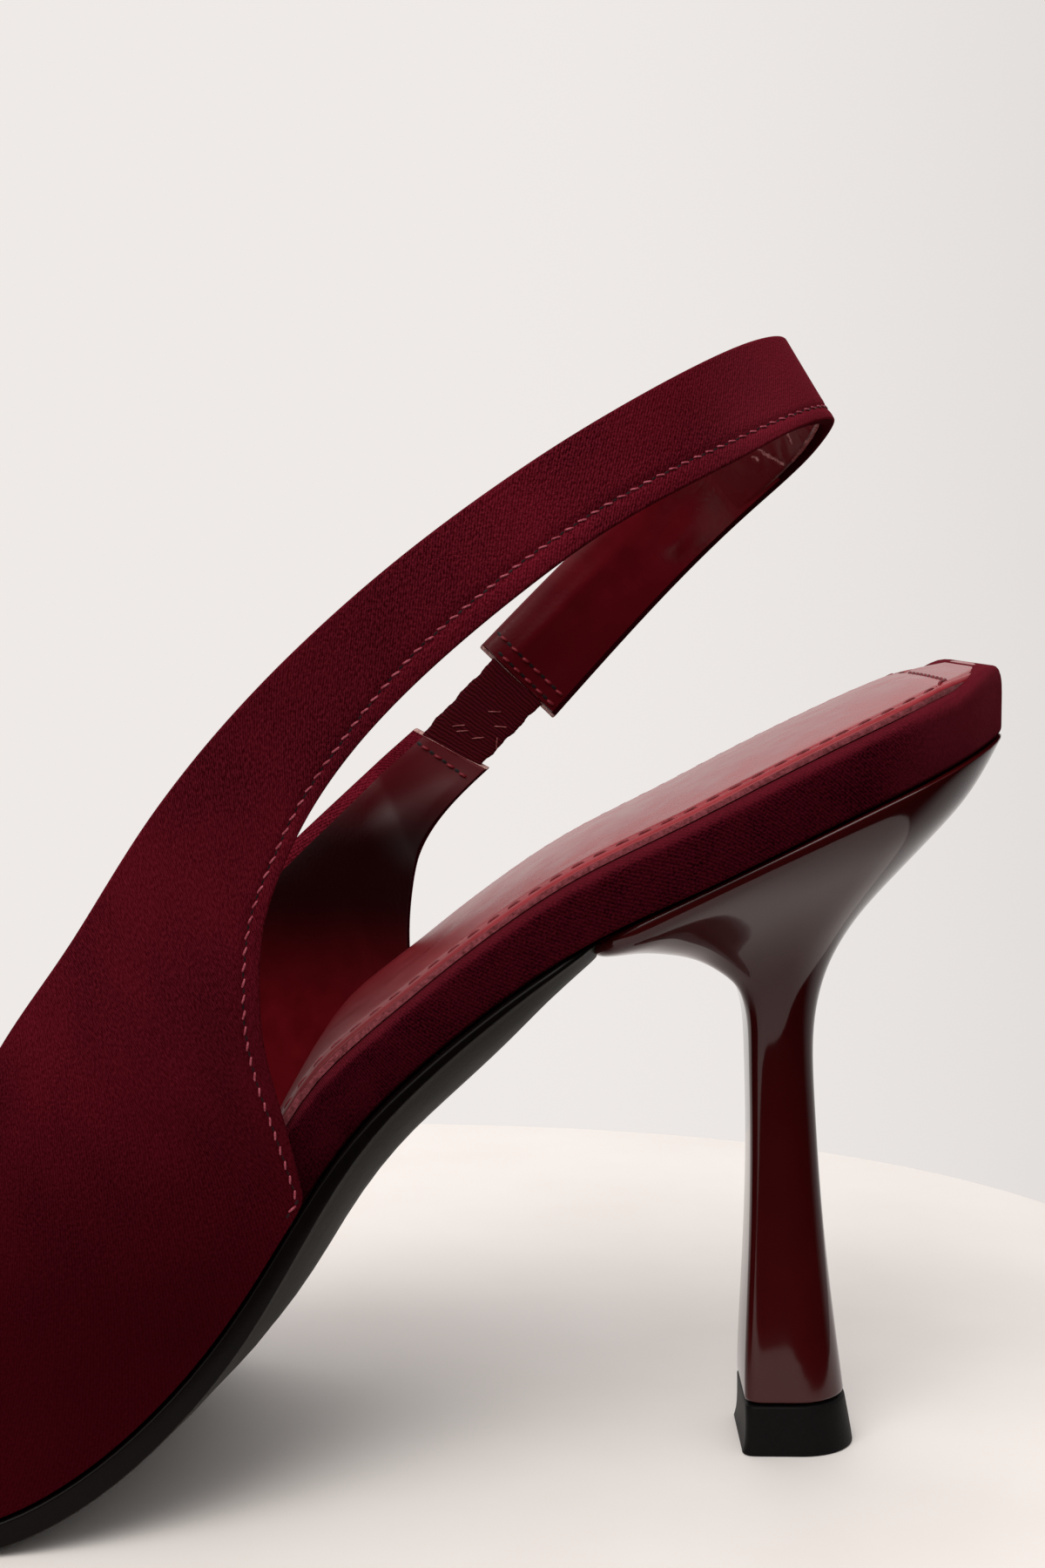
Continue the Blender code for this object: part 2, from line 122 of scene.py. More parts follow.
# %% Measures of the last and the bottom
# Feather is the height of the line where the upper meets the bottom, swing the shift of the middle line to
# the inner side, bed the thickness of the board, and edge and belly the sole's thickness and its rounding.
bottom = curves("feather half swing bed edge belly", (
    (0, 90.9, 23.4, 0, 6.8, 1.0, 3.0), (12, 85.0, 24.4, 0, 7.6, 1.0, 3.0),
    (25, 78.7, 25.2, 0, 7.7, 1.0, 3.0), (38, 72.3, 25.0, 0, 7.5, 1.0, 3.0),
    (50, 66.4, 23.8, -0.2, 7.1, 1.0, 3.0), (60, 59.8, 23.2, -0.5, 6.8, 1.4, 4.7),
    (70, 51.8, 23.1, -1.0, 6.6, 1.7, 5.0), (80, 41.2, 24.2, -1.7, 6.4, 2.3, 4.2),
    (90, 25.8, 27.1, -2.3, 6.2, 2.8, 2.3), (100, 14.3, 31.0, -2.4, 5.6, 3.2, 1.2),
    (110, 7.0, 34.3, -1.7, 5.0, 3.3, 0.5), (118, 3.8, 36.2, -0.9, 4.6, 3.2, 0.1),
    (126, 3.0, 37.1, -0.3, 4.4, 3.0, 0), (150, 3.0, 35.2, 0.7, 4.0, 3.0, 0),
    (165, 3.4, 31.4, 1.0, 3.8, 3.0, 0), (180, 4.1, 26.2, 1.4, 3.5, 3.0, 0),
    (200, 5.3, 18.2, 1.7, 3.2, 3.0, 0), (218, 6.6, 10.6, 1.9, 3.0, 3.0, 0),
    (236, 8.0, 3.6, 2.0, 3.0, 3.0, 0)))
# Each cut of the wall is a Bezier curve up to the ridge over the foot. It leans to the toe, bulges out at
# its rise above the feather, and is broad below the ridge.
flank = curves("lean bulge_lateral bulge_medial rise ridge broad_lateral broad_medial", (
    (60, 0.52, 6.2, 8.0, 22, 112, 40, 52), (72, 0.51, 5.0, 6.5, 21, 102, 37, 46),
    (84, 0.46, 3.6, 5.0, 20, 91, 32, 38), (95, 0.38, 3.0, 3.8, 20, 78, 30, 33),
    (105, 0.28, 2.6, 3.2, 20, 66, 28.5, 30), (115, 0.17, 2.2, 2.6, 19, 56, 26.5, 27.5),
    (125, 0.08, 1.8, 2.2, 17.5, 47, 25, 26), (135, 0, 1.5, 1.8, 16, 38.2, 24, 25),
    (145, 0, 1.3, 1.5, 14.5, 32, 22.5, 23.5), (152, 0, 1.2, 1.3, 13.6, 28.9, 21.5, 22),
    (170, 0, 1, 1, 12, 24.6, 18, 18), (190, 0, 0.8, 0.8, 10.5, 20.4, 13.5, 13.5),
    (208, 0, 0.6, 0.6, 9, 16.2, 9, 9), (222, 0, 0.4, 0.4, 7, 12.4, 5.6, 5.6),
    (229, 0, 0.3, 0.3, 5.6, 9.6, 3.8, 3.8), (233, 0, 0.2, 0.2, 3.8, 6.6, 2.6, 2.6),
    (236, 0, 0.1, 0.1, 1.2, 2.0, 1.2, 1.2)))
# Square of the share of each cut that the opening leaves out.
opening = curves("lateral medial", (
    (152, 0, 0), (144, 0.030, 0.037), (136, 0.060, 0.074), (128, 0.091, 0.113), (120, 0.124, 0.157),
    (112, 0.162, 0.211), (104, 0.212, 0.284), (95, 0.279, 0.370), (85, 0.350, 0.466),
    (78, 0.386, 0.517), (70, 0.406, 0.544), (60, 0.420, 0.556)))
# Heights on the rear edge of each quarter, and its stations there.
rear_edge = {
    LATERAL: natural_curve(
        (37.6, 48.1, 55.8, 63.0, 69.0, 75.5, 81.8, 88.3, 93.8, 98.4),
        (82.5, 85.0, 86.9, 87.3, 86.8, 84.7, 81.6, 77.1, 72.2, 67.4)),
    MEDIAL: natural_curve(
        (49.4, 59.6, 66.5, 72.6, 78.3, 83.0), (72.6, 73.8, 73.4, 71.8, 67.6, 62.7))}

WALL, GAP = 1.6, 0.3
SEAT_BACK, TOE_END, SEAT_CORNER, TOE_CORNER = 0.9, 234.0, 14.0, 4.6
STRAP_ROOT, TAB_ROOT, VAMP_POINT = 60.0, 65.0, 152.0
SOLE_CORNER = {LATERAL: 82.6, MEDIAL: 72.6}
SIDE_NAME = {LATERAL: "lateral", MEDIAL: "medial"}


def slant(station):
    """How much longer the sloping bottom is than its plan at a station."""
    return np.sqrt(1.0 + (bottom["feather"](station - 0.5) - bottom["feather"](station + 0.5)) ** 2)


def end_round(distance, corner):
    """How far a rounded end draws in at a distance from it."""
    reach = np.clip(corner - distance, 0.0, corner)
    return corner - np.sqrt(corner ** 2 - reach ** 2)


def half_breadth(station, grow, back=SEAT_BACK, toe=TOE_END):
    """Half breadth of a layer with rounded ends that is grown by a margin."""
    rounds = end_round(station - back, SEAT_CORNER) + end_round(toe - station, TOE_CORNER)
    return bottom["half"](station) + grow - rounds


def wall_point(station, side, t):
    """Point of the upper's wall, from the sole's edge at t = 0 to the ridge over the foot at t = 1."""
    foot = half_breadth(station, WALL + 2.0 * GAP)
    bulge = flank["bulge_" + SIDE_NAME[side]](station)
    broad = flank["broad_" + SIDE_NAME[side]](station)
    start, second, third, end = (1 - t) ** 3, 3 * t * (1 - t) ** 2, 3 * t * t * (1 - t), t ** 3
    out = start * foot + second * (foot + bulge) + third * broad
    height = second * flank["rise"](station) + (third + end) * flank["ridge"](station)
    return np.stack((station + flank["lean"](station) * height,
                     bottom["swing"](station) + side * out,
                     bottom["feather"](station) + height), axis=-1)


print("ball breadth", round(2 * float(bottom["half"](126.0)), 1), "mm, heel rise",
      round(float(bottom["feather"](25.0)), 1), "mm")

# %% [markdown]
# Every surface here is a grid of points: rows one after another, joined by four-sided faces. Each grid
# also gets UV coordinates that are true lengths on the surface in metres, as if it could be laid flat.
# A weave or a grain can then be given in thread spacings, and it follows the cloth round every bend.

# %% Grids, pieces and their place in the frame
shoe = bpy.data.collections.new("slingback_pump")
bpy.context.scene.collection.children.link(shoe)


def run_lengths(points):
    """Length along a row of points up to each of them."""
    steps = np.linalg.norm(np.diff(points, axis=0), axis=-1)
    return np.concatenate(([0.0], np.cumsum(steps)))


def mean_run(rows):
    """Mean length over the columns of a grid up to each of its rows."""
    steps = np.linalg.norm(np.diff(rows, axis=0), axis=2).mean(axis=1)
    return np.concatenate(([0.0], np.cumsum(steps)))


def walk(points, run, place):
    """Point at a length along a row of points, or points at several lengths."""
    return np.stack([np.interp(place, run, points[:, k]) for k in range(3)], axis=-1)


def cloth_grid(rows, around=False):
    """Mesh of four-sided faces through rows of points, with lengths in metres as UVs."""
    rows = np.asarray(rows)
    count = rows.shape[1]
    wide = np.concatenate((rows, rows[:, :1]), axis=1) if around else rows
    along = mean_run(rows)
    across = np.array([run_lengths(row) for row in wide])
    bm = bmesh.new()
    uv = bm.loops.layers.uv.new("cloth")
    points = [[bm.verts.new(point) for point in row] for row in rows]
    for i in range(len(rows) - 1):
        for j in range(wide.shape[1] - 1):
            corners = ((i, j), (i, j + 1), (i + 1, j + 1), (i + 1, j))
            face = bm.faces.new([points[a][b % count] for a, b in corners])
            for loop, (a, b) in zip(face.loops, corners):
                loop[uv].uv = along[a], across[a][b]
    return bm, points


def closed_grid(rings):
    """Grid that goes round, with its first and its last ring filled."""
    bm, points = cloth_grid(rings, around=True)
    for ring in (points[0], points[-1]):
        bm.faces.new(ring)
    bmesh.ops.recalc_face_normals(bm, faces=bm.faces)
    return bm


def smooth_object(name, bm, materials, home):
    """Object of a mesh with smooth faces, linked to its home collection."""
    for face in bm.faces:
        face.smooth = True
    mesh = bpy.data.meshes.new(name)
    bm.to_mesh(mesh)
    bm.free()
    for material in materials:
        mesh.materials.append(material)
    obj = bpy.data.objects.new(name, mesh)
    home.objects.link(obj)
    return obj


def piece(name, bm, materials, slot, *replaced):
    """Makes an object of a mesh, smooth but for its sharp edges, and sets it in the frame."""
    sharp = radians(38.0)
    for edge in bm.edges:
        edge.smooth = len(edge.link_faces) != 2 or edge.calc_face_angle(0.0) < sharp
    obj = smooth_object(name, bm, materials, shoe)
    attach(obj, "root")
    if replaced:
        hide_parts(*replaced)
    print(f"{name}: {len(obj.data.polygons)} faces")
    return obj


def surface_of(obj):
    """Search tree of an object's finished surface, with its modifiers."""
    shown = obj.evaluated_get(bpy.context.evaluated_depsgraph_get())
    mesh = shown.to_mesh()
    tree = BVHTree.FromPolygons([v.co.copy() for v in mesh.vertices],
                                [tuple(p.vertices) for p in mesh.polygons])
    shown.to_mesh_clear()
    return tree


# %% [markdown]
# Materials are small networks of nodes. Colours are written as the sRGB values a colour picker shows,
# and one function turns them to the linear values a renderer adds up. One more function adds a node,
# sets it and links it. The others are short words for the nodes that are used most, so that a material
# reads as a list of what it is made of.

# %% Colour and node helpers
def linear(code, alpha=1.0):
    """Linear colour of an sRGB hex code."""
    parts = [int(code[i:i + 2], 16) / 255.0 for i in (1, 3, 5)]
    return [p / 12.92 if p <= 0.04045 else ((p + 0.055) / 1.055) ** 2.4 for p in parts] + [alpha]


def add(tree, kind, inputs=None, **settings):
    """Adds a node. Inputs are values or other nodes' outputs, by socket name or number."""
    made = tree.nodes.new("ShaderNode" + kind)
    for name, value in settings.items():
        setattr(made, name, value)
    for name, value in (inputs or {}).items():
        if isinstance(value, bpy.types.NodeSocket):
            tree.links.new(value, made.inputs[name])
        else:
            made.inputs[name].default_value = value
    return made


def new_material(name):
    """An empty material and its node tree."""
    material = bpy.data.materials.new(name)
    material.use_nodes = True
    material.node_tree.nodes.clear()
    print("material:", name)
    return material, material.node_tree


def principled(tree, inputs):
    """Adds a material's shader and links it to the material's output."""
    body = add(tree, "BsdfPrincipled", inputs)
    add(tree, "OutputMaterial", {"Surface": body.outputs[0]})
    return body


def per_metre(millimetres):
    """Scale of a noise or cell pattern whose cells are that wide."""
    return 1000.0 / millimetres


def bands_per_metre(millimetres):
    """Scale of a straight wave pattern whose bands are that far apart."""
    return 2.0 * pi / 20.0 * 1000.0 / millimetres


def on_object(tree):
    """Place on the object in metres."""
    return add(tree, "TexCoord").outputs["Object"]


def clouds(tree, place, millimetres, detail, roughness=0.5):
    """Noise whose largest clouds are that wide."""
    return add(tree, "TexNoise", {"Vector": place, "Scale": per_metre(millimetres), "Detail": detail,
                                  "Roughness": roughness}).outputs["Fac"]


def ramp(tree, value, start, end, low=0.0, high=1.0, soft=False):
    """Goes from low to high while a value goes from start to end, and is level outside them."""
    return add(tree, "MapRange", {"Value": value, "From Min": start, "From Max": end, "To Min": low,
                                  "To Max": high},
               interpolation_type="SMOOTHSTEP" if soft else "LINEAR").outputs["Result"]


def reckon(tree, operation, *values):
    """Result of a sum with values or other nodes' outputs."""
    return add(tree, "Math", dict(enumerate(values)), operation=operation).outputs[0]


def blend(tree, share, first, second):
    """Colour between two colours, which are hex codes or other nodes' outputs."""
    first, second = (linear(colour) if isinstance(colour, str) else colour for colour in (first, second))
    return add(tree, "Mix", {"Factor": share, 6: first, 7: second}, data_type="RGBA").outputs[2]


def bump(tree, height, strength, millimetres):
    """Normals of a relief that is that deep."""
    return add(tree, "Bump", {"Height": height, "Strength": strength,
                              "Distance": millimetres * MM}).outputs["Normal"]


# %% [markdown]
# The satin is a polyester duchesse satin: long floats of thread over a twill ground, pressed smooth.
# The floats give a soft, broad sheen that turns rosy where the cloth turns away, and the ground shows
# as a fine pebble. Its threads are about 0.1 mm apart, too fine for the picture, so the twill is drawn
# at 0.45 mm and the pebble at 0.35 mm. Slow clouds of tone come from the pressing of the cloth. It is
# painted darker near the sole as painted shade, and lighter round the back of the shoe as a painted
# highlight. The rim's copy is darker, as painted shade, and is also painted lighter where it looks up;
# a still darker copy is painted shade where the satin is turned under.

# %% Duchesse satin
# Painted highlight: how fast it comes in, how much of it there is, and its colour.
LIT_REACH, LIT_SHARE, LIT_COLOUR = 0.014, 0.3, "#96303f"


def duchesse_satin(name, dark, light, bright, sheen, low_share, lit_from=1.0, cloud_mm=14.0,
                   top_highlight_share=0.0):
    """Satin between a dark and a light pressed ground, with brighter floats on it.

    Near the sole only a share of the light tones is left: painted shade. From a given X backwards the
    cloth is painted lighter, and so it is, by a given share, where it looks upwards: painted highlights.
    """
    material, tree = new_material(name)
    cloth = add(tree, "TexCoord").outputs["UV"]
    twill = add(tree, "TexWave", {"Vector": cloth, "Scale": 2.0 * bands_per_metre(0.45), "Distortion": 3.0,
                                  "Detail": 1.0, "Detail Scale": 1.5}, bands_direction="DIAGONAL")
    pebble = clouds(tree, cloth, 0.35, detail=2.0)
    pressed = ramp(tree, clouds(tree, cloth, cloud_mm, detail=5.0), 0.34, 0.66)
    place = add(tree, "SeparateXYZ", {0: on_object(tree)}).outputs
    # Painted shade: the cloth is drawn darker near the sole.
    painted_low_shade = ramp(tree, place["Z"], 0.02, 0.075, low=low_share, soft=True)
    ground = blend(tree, reckon(tree, "MULTIPLY", pressed, painted_low_shade), dark, light)
    lights = reckon(tree, "MULTIPLY_ADD", twill.outputs["Fac"], 0.25, pebble)
    floats = ramp(tree, lights, 0.42, 0.84, high=0.8)
    woven = blend(tree, reckon(tree, "MULTIPLY", floats, painted_low_shade), ground, bright)
    # Painted highlight behind a given X and, by a share, on faces that look up.
    lit = ramp(tree, place["X"], lit_from, lit_from + LIT_REACH, high=LIT_SHARE, soft=True)
    facing = add(tree, "SeparateXYZ", {0: add(tree, "NewGeometry").outputs["Normal"]}).outputs
    painted_top_light = ramp(tree, facing["Z"], 0.3, 0.9, high=top_highlight_share)
    colour = blend(tree, reckon(tree, "MAXIMUM", lit, painted_top_light), woven, LIT_COLOUR)
    principled(tree, {
        "Base Color": colour, "Metallic": 0.25, "Roughness": 0.48, "IOR": 1.5, "Specular IOR Level": 0.0,
        "Specular Tint": linear("#c05068"), "Sheen Weight": sheen, "Sheen Roughness": 0.3,
        "Sheen Tint": linear("#e06072"), "Normal": bump(tree, lights, 0.7, 0.16)})
    return material


satin = duchesse_satin("duchesse_satin", "#2b0308", "#4d0913", "#711d2b", sheen=0.15, low_share=0.1,
                       lit_from=0.076)
# A darker copy of the satin for the rim, as painted shade, with painted highlights at its back and on its
# top.
cross_satin_painted_shade = duchesse_satin("duchesse_satin_cross_grain_painted_shade", "#0e0103", "#2c050c", "#4c0e1a", sheen=0.18,
                             low_share=1.0, lit_from=0.099, cloud_mm=5.0, top_highlight_share=0.3)
# A much darker copy of the satin for cloth that is turned under: painted shade.
turned_satin_painted_shade = duchesse_satin("duchesse_satin_turned_under_painted_shade", "#180205", "#220308", "#30070f", sheen=0.06,
                              low_share=1.0)

# %% [markdown]
# The lining is a plated kid leather: dyed through, ironed to a gloss, with a faint net of pores. The
# gloss gives long pale highlights on the folds. The sock is the same skin, painted darker towards its
# front as painted shade. The strap's lining is painted darker low down, and the lining of the inner
# quarter darkest halfway up, both as painted shade, and the ankle has polished the inner quarter's
# lining under the tab. Pores of about 0.3 mm are drawn at 0.9 mm.

# %% Plated kid leather
def plated_leather(name, dark, light, deep, heights, roughness, dulling, bend, shine, top=None,
                   rubbed=None):
    """Smooth dyed leather with a faint grain.

    Between two heights it goes over to a deep colour, which is painted shade on the linings and the sock,
    and gains the roughness of dulling. A top gives one more colour and the two heights over which it comes
    in. A rubbed spot, given by its middle and its radius, is polished.
    """
    material, tree = new_material(name)
    skin, place = add(tree, "TexCoord").outputs["UV"], on_object(tree)
    pores = add(tree, "TexVoronoi", {"Vector": skin, "Scale": per_metre(0.9)}, feature="DISTANCE_TO_EDGE")
    creases = clouds(tree, skin, 5.0, detail=4.0)
    dyed = blend(tree, ramp(tree, creases, 0.32, 0.68), dark, light)
    height = add(tree, "SeparateXYZ", {0: place}).outputs["Z"]
    change = ramp(tree, height, *heights, soft=True)
    colour = blend(tree, change, dyed, deep)
    if top:
        top_colour, start, end = top
        colour = blend(tree, ramp(tree, height, start, end, high=0.85, soft=True), colour, top_colour)
    uneven = reckon(tree, "MULTIPLY_ADD", creases, 0.16, roughness)
    gloss = reckon(tree, "MULTIPLY_ADD", change, dulling, uneven)
    relief = reckon(tree, "MULTIPLY_ADD", pores.outputs["Distance"], 0.35, creases)
    body = principled(tree, {
        "Base Color": colour, "Roughness": gloss, "IOR": bend, "Specular IOR Level": shine,
        "Normal": bump(tree, relief, 0.22, 0.2)})
    if rubbed:
        middle, radius = rubbed
        away = add(tree, "VectorMath", {0: place, 1: middle}, operation="DISTANCE").outputs["Value"]
        polish = ramp(tree, away, 0.2 * radius, radius, low=0.75, high=0.0, soft=True)
        tree.links.new(polish, body.inputs["Coat Weight"])
        body.inputs["Coat Roughness"].default_value = 0.42
    return material


# The strap's lining is painted darker low down, as painted shade.
strap_lining = plated_leather(
    "plated_kid_strap_lining", "#560b13", "#66101a", "#470810", heights=(0.118, 0.094), roughness=0.13,
    dulling=0.0, bend=1.45, shine=0.2)
grip_leather = plated_leather(
    "plated_kid_heel_grip", "#661019", "#7a1824", "#5a0d16", heights=(0.134, 0.122), roughness=0.2,
    dulling=0.0, bend=1.45, shine=0.25)
# The inner quarter's lining is painted darkest halfway up, as painted shade, and lighter again at the top.
quarter_lining = plated_leather(
    "plated_kid_quarter_lining", "#560a11", "#660f17", "#1a0304", heights=(0.044, 0.066), roughness=0.12,
    dulling=0.0, bend=1.4, shine=0.1, top=("#560f18", 0.072, 0.084),
    rubbed=((0.048, 0.028, 0.078), 0.012))
# The sock is painted darker towards its front, where it lies lower, as painted shade.
sock_skin = plated_leather(
    "plated_kid_sock", "#88232b", "#962d35", "#540d14", heights=(0.078, 0.045), roughness=0.18,
    dulling=0.1, bend=1.36, shine=0.26)

# %% [markdown]
# A cut edge of leather shows its undyed fibres: pale, matt and a little furry. The edge of the sock is
# drawn rosy and paler than the sock: partly dyed colour, partly a painted highlight. Fibres of some
# hundredths of a millimetre are drawn at 0.5 mm.

# %% Raw leather edges
def cut_leather(name, dyed, fibre):
    """Matt leather edge that goes from its dyed to its fibrous colour in small tufts."""
    material, tree = new_material(name)
    fibres = clouds(tree, on_object(tree), 0.5, detail=5.0, roughness=0.7)
    principled(tree, {
        "Base Color": blend(tree, ramp(tree, fibres, 0.35, 0.65), dyed, fibre), "Roughness": 0.9,
        "IOR": 1.45, "Sheen Weight": 0.2, "Normal": bump(tree, fibres, 0.8, 0.2)})
    return material


raw_edge = cut_leather("raw_leather_edge", "#702e31", "#c8a098")
# The sock's edge: dyed rosy, with paler tufts that are a painted highlight.
sock_edge_painted_highlight = cut_leather("dyed_leather_edge_painted_highlight", "#5e171d", "#984650")

# %% [markdown]
# The upper is one wall that starts at the cut end of the strap, runs round the heel of the foot, down
# the outer quarter, round the toe and back up the inner quarter to a short tab. It could be carved from
# a block, but cloth is better drawn as ribs: lines from the lower edge up to the folded top edge. Ribs
# that leave the rear edge at a good angle keep the rows beside it parallel to it, and that is where the
# seam lies. The ribs fan out from there to the top edge.

# %% Strap and tab
# Each row is the lower point and the upper point of the strap: station, breadth, height.
strap_bands = (
    ((54.4, 28.8, 89.5), (64.4, 28.2, 99.2)), ((45.4, 27.8, 99.6), (54.8, 27.2, 109.0)),
    ((36.7, 24.8, 109.0), (45.3, 24.2, 118.2)), ((27.5, 18.0, 118.0), (34.9, 17.4, 127.6)),
    ((21.2, 9.0, 124.2), (27.9, 8.6, 133.8)), ((19.6, 1.0, 127.3), (25.7, 1.0, 137.0)),
    ((21.3, -6.0, 127.4), (27.2, -5.8, 137.3)), ((24.9, -11.6, 126.1), (30.8, -11.2, 136.1)),
    ((30.7, -17.6, 123.0), (36.7, -17.0, 133.2)), ((38.1, -23.0, 119.1), (43.9, -22.4, 129.1)),
    ((48.1, -27.4, 113.5), (54.3, -26.8, 122.7)), ((57.7, -29.8, 106.6), (64.8, -29.2, 115.4)))
tab_bands = (((67.6, 27.9, 78.3), (75.4, 29.2, 86.2)), ((62.7, 28.2, 83.0), (72.9, 29.0, 88.4)))
ACROSS = np.linspace(0.0, 1.0, 17)
ROOT_STEP, RIB_STEP = 4.0, 1.3
END_ROWS = np.array((0.0, 0.25, 0.8, 1.6, 2.4, 3.4, 4.6))


def wall_top(station, side):
    """Height share of the top edge at a station."""
    return 1.0 - np.sqrt(np.maximum(0.0, opening[SIDE_NAME[side]](station)))


def rear_share(station, side):
    """Height share at which the wall of a station starts behind the sole's corner."""
    low, high = 0.0, float(wall_top(station, side))
    for _ in range(40):
        middle = 0.5 * (low + high)
        point = wall_point(station, side, middle)
        if point[0] < rear_edge[side](point[2]):
            low = middle
        else:
            high = middle
    return low if station < SOLE_CORNER[side] else 0.0


def upright_rib(station, side):
    """Rib of the wall at one station."""
    low = rear_share(station, side)
    return wall_point(np.full_like(ACROSS, station), side, low + (wall_top(station, side) - low) * ACROSS)


def band_rib(band):
    """Straight rib across the strap or the tab."""
    low, top = np.array(band)
    return low + (top - low) * ACROSS[:, None]


def strap_ribs(bands, root, side):
    """Ribs on smooth curves through a strap's bands and on into the wall, from its cut end to its root.

    They are close together at the cut end and then evenly spaced.
    """
    rows = [band_rib(band) for band in bands]
    rows += [upright_rib(root + ROOT_STEP * i, side) for i in range(3)]
    run = run_lengths(np.array([row[len(ACROSS) // 2] for row in rows]))
    curve = natural_curve(run, rows)
    length = run[len(bands)]
    count = round((length - END_ROWS[-1]) / RIB_STEP)
    places = np.concatenate((END_ROWS, np.linspace(END_ROWS[-1], length, count + 1)[1:]))
    return [curve(place) for place in places]


strap = strap_ribs(strap_bands, STRAP_ROOT, LATERAL)
tab = strap_ribs(tab_bands[::-1], TAB_ROOT, MEDIAL)[::-1]
print("strap of", len(strap), "ribs, tab of", len(tab))

# %% Quarters and vamp
EDGE_RIBS, SOLE_RIBS = {LATERAL: 44, MEDIAL: 20}, {LATERAL: 42, MEDIAL: 46}
TOE_NARROWS = 222.0


def quarter_ribs(side, root):
    """Ribs of a quarter, from its strap or tab root to the vamp point."""
    corner = SOLE_CORNER[side]
    behind = np.linspace(root, corner, 60)
    shares = np.array([rear_share(station, side) for station in behind])
    edge_run = run_lengths(wall_point(behind, side, shares))
    picked = np.interp(np.linspace(0.0, edge_run[-1], EDGE_RIBS[side] + 1), edge_run, behind)
    sole = np.linspace(corner, VAMP_POINT, SOLE_RIBS[side] + 1)[1:]
    low = np.concatenate((picked, sole))
    low_share = np.concatenate((np.interp(picked, behind, shares), np.zeros(len(sole))))
    low_run = run_lengths(wall_point(low, side, low_share))
    top = np.linspace(root, VAMP_POINT, 120)
    top_run = run_lengths(wall_point(top, side, wall_top(top, side)))
    fan = (low_run / low_run[-1]) ** 0.85
    high = np.interp(fan * top_run[-1], top_run, top)
    high_share = wall_top(high, side)
    return [wall_point(a + (b - a) * ACROSS, side, s + (e - s) * ACROSS)
            for a, b, s, e in zip(low, high, low_share, high_share)]


outer_quarter = quarter_ribs(LATERAL, STRAP_ROOT)
inner_quarter = quarter_ribs(MEDIAL, TAB_ROOT)
toe_stations = np.concatenate((np.linspace(VAMP_POINT, TOE_NARROWS, 34)[1:],
                               np.linspace(TOE_NARROWS, TOE_END, 10)[1:]))
outer_vamp, inner_vamp = ([upright_rib(station, side) for station in toe_stations]
                          for side in (LATERAL, MEDIAL))
ribs = strap + outer_quarter[1:] + outer_vamp + inner_vamp[::-1] + inner_quarter[::-1] + tab[1:]

# How much of the seam's trough each rib has: all of it beside the strap and the rear edges.
outer_seam = len(strap) + EDGE_RIBS[LATERAL]
inner_seam = len(ribs) - len(tab) - EDGE_RIBS[MEDIAL]
rib_number = np.arange(len(ribs))
seam_share = np.clip(np.maximum(outer_seam - rib_number, rib_number - inner_seam) / 3.0, 0.0, 1.0)
print(len(ribs), "ribs from the end of the strap to the end of the tab")

# %% [markdown]
# Rows of points across the ribs are close together where something happens: at the cut lower edge, on
# both sides of the seam 1 to 3 mm above it, and at the folded top edge. Where a rib leaves the edge at a
# slant, its first rows are spread so that they stay at a true distance from the edge. The seam is drawn
# as a soft trough that pulls the cloth in, and a slow unevenness stands for cloth over a hand-lasted shape.

# %% Rows across the upper
EDGE_ROWS = np.array((0.0, 0.25, 0.9, 1.8, 2.5, 3.0, 3.5, 4.2, 5.4))
FOLD_ROWS = np.array((1.9, 1.0, 0.4, 0.0))
MIDDLE_ROWS, SEAM_ROW, FULL_RIB = 9, 5, 12.0


def spread_rows(rib, skew):
    """Points along a rib at fixed distances from its two edges and evenly between them.

    On a rib shorter than FULL_RIB these distances shrink with it.
    """
    run = run_lengths(rib)
    fit = min(1.0, run[-1] / FULL_RIB)
    low = EDGE_ROWS * skew * fit
    high = run[-1] - FOLD_ROWS * fit
    places = np.concatenate((low, np.linspace(low[-1], high[0], MIDDLE_ROWS + 2)[1:-1], high))
    return walk(rib, run, places)


edge_points = np.array([rib[0] for rib in ribs])
edge_way = np.gradient(edge_points, axis=0)
rib_way = np.array([rib[1] for rib in ribs]) - edge_points
slope = np.linalg.norm(np.cross(edge_way, rib_way), axis=1)
slope /= np.linalg.norm(edge_way, axis=1) * np.linalg.norm(rib_way, axis=1)
skew = 1.0 + seam_share * (1.0 / np.clip(slope, 0.45, 1.0) - 1.0)

# Distance of the seam from the edge, near points on the edge: station, breadth, height.
seam_marks = (
    ((54.4, 28.8, 89.5), 2.4), ((19.6, 1.0, 127.3), 1.8), ((24.9, -11.6, 126.1), 1.7),
    ((38.1, -23.0, 119.1), 2.5), ((57.7, -29.8, 106.6), 2.8), ((67.4, -30.5, 98.4), 2.7),
    ((77.1, -31.0, 88.3), 1.6), ((84.7, -31.0, 75.5), 1.4), ((87.3, -31.0, 63.0), 1.8),
    ((85.0, -30.0, 48.1), 1.8), ((82.5, -27.0, 37.6), 0.9), ((110.0, -36.0, 7.0), 2.4),
    ((100.0, 32.0, 14.3), 2.4), ((72.6, 24.0, 49.4), 1.2), ((73.6, 28.0, 62.0), 1.8),
    ((62.7, 28.2, 83.0), 2.4))
mark_ribs = [int(np.argmin(np.linalg.norm(edge_points - place, axis=1))) for place, _ in seam_marks]
skew *= np.interp(rib_number, mark_ribs, [inset for _, inset in seam_marks]) / EDGE_ROWS[SEAM_ROW]
upper_grid = np.array([spread_rows(rib, s) for rib, s in zip(ribs, skew)])


def outward(grid):
    """Unit directions that leave a grid of points on its outer side, in station coordinates."""
    way = np.cross(np.gradient(grid, axis=0), np.gradient(grid, axis=1))
    return way / np.maximum(np.linalg.norm(way, axis=2, keepdims=True), 1e-9)


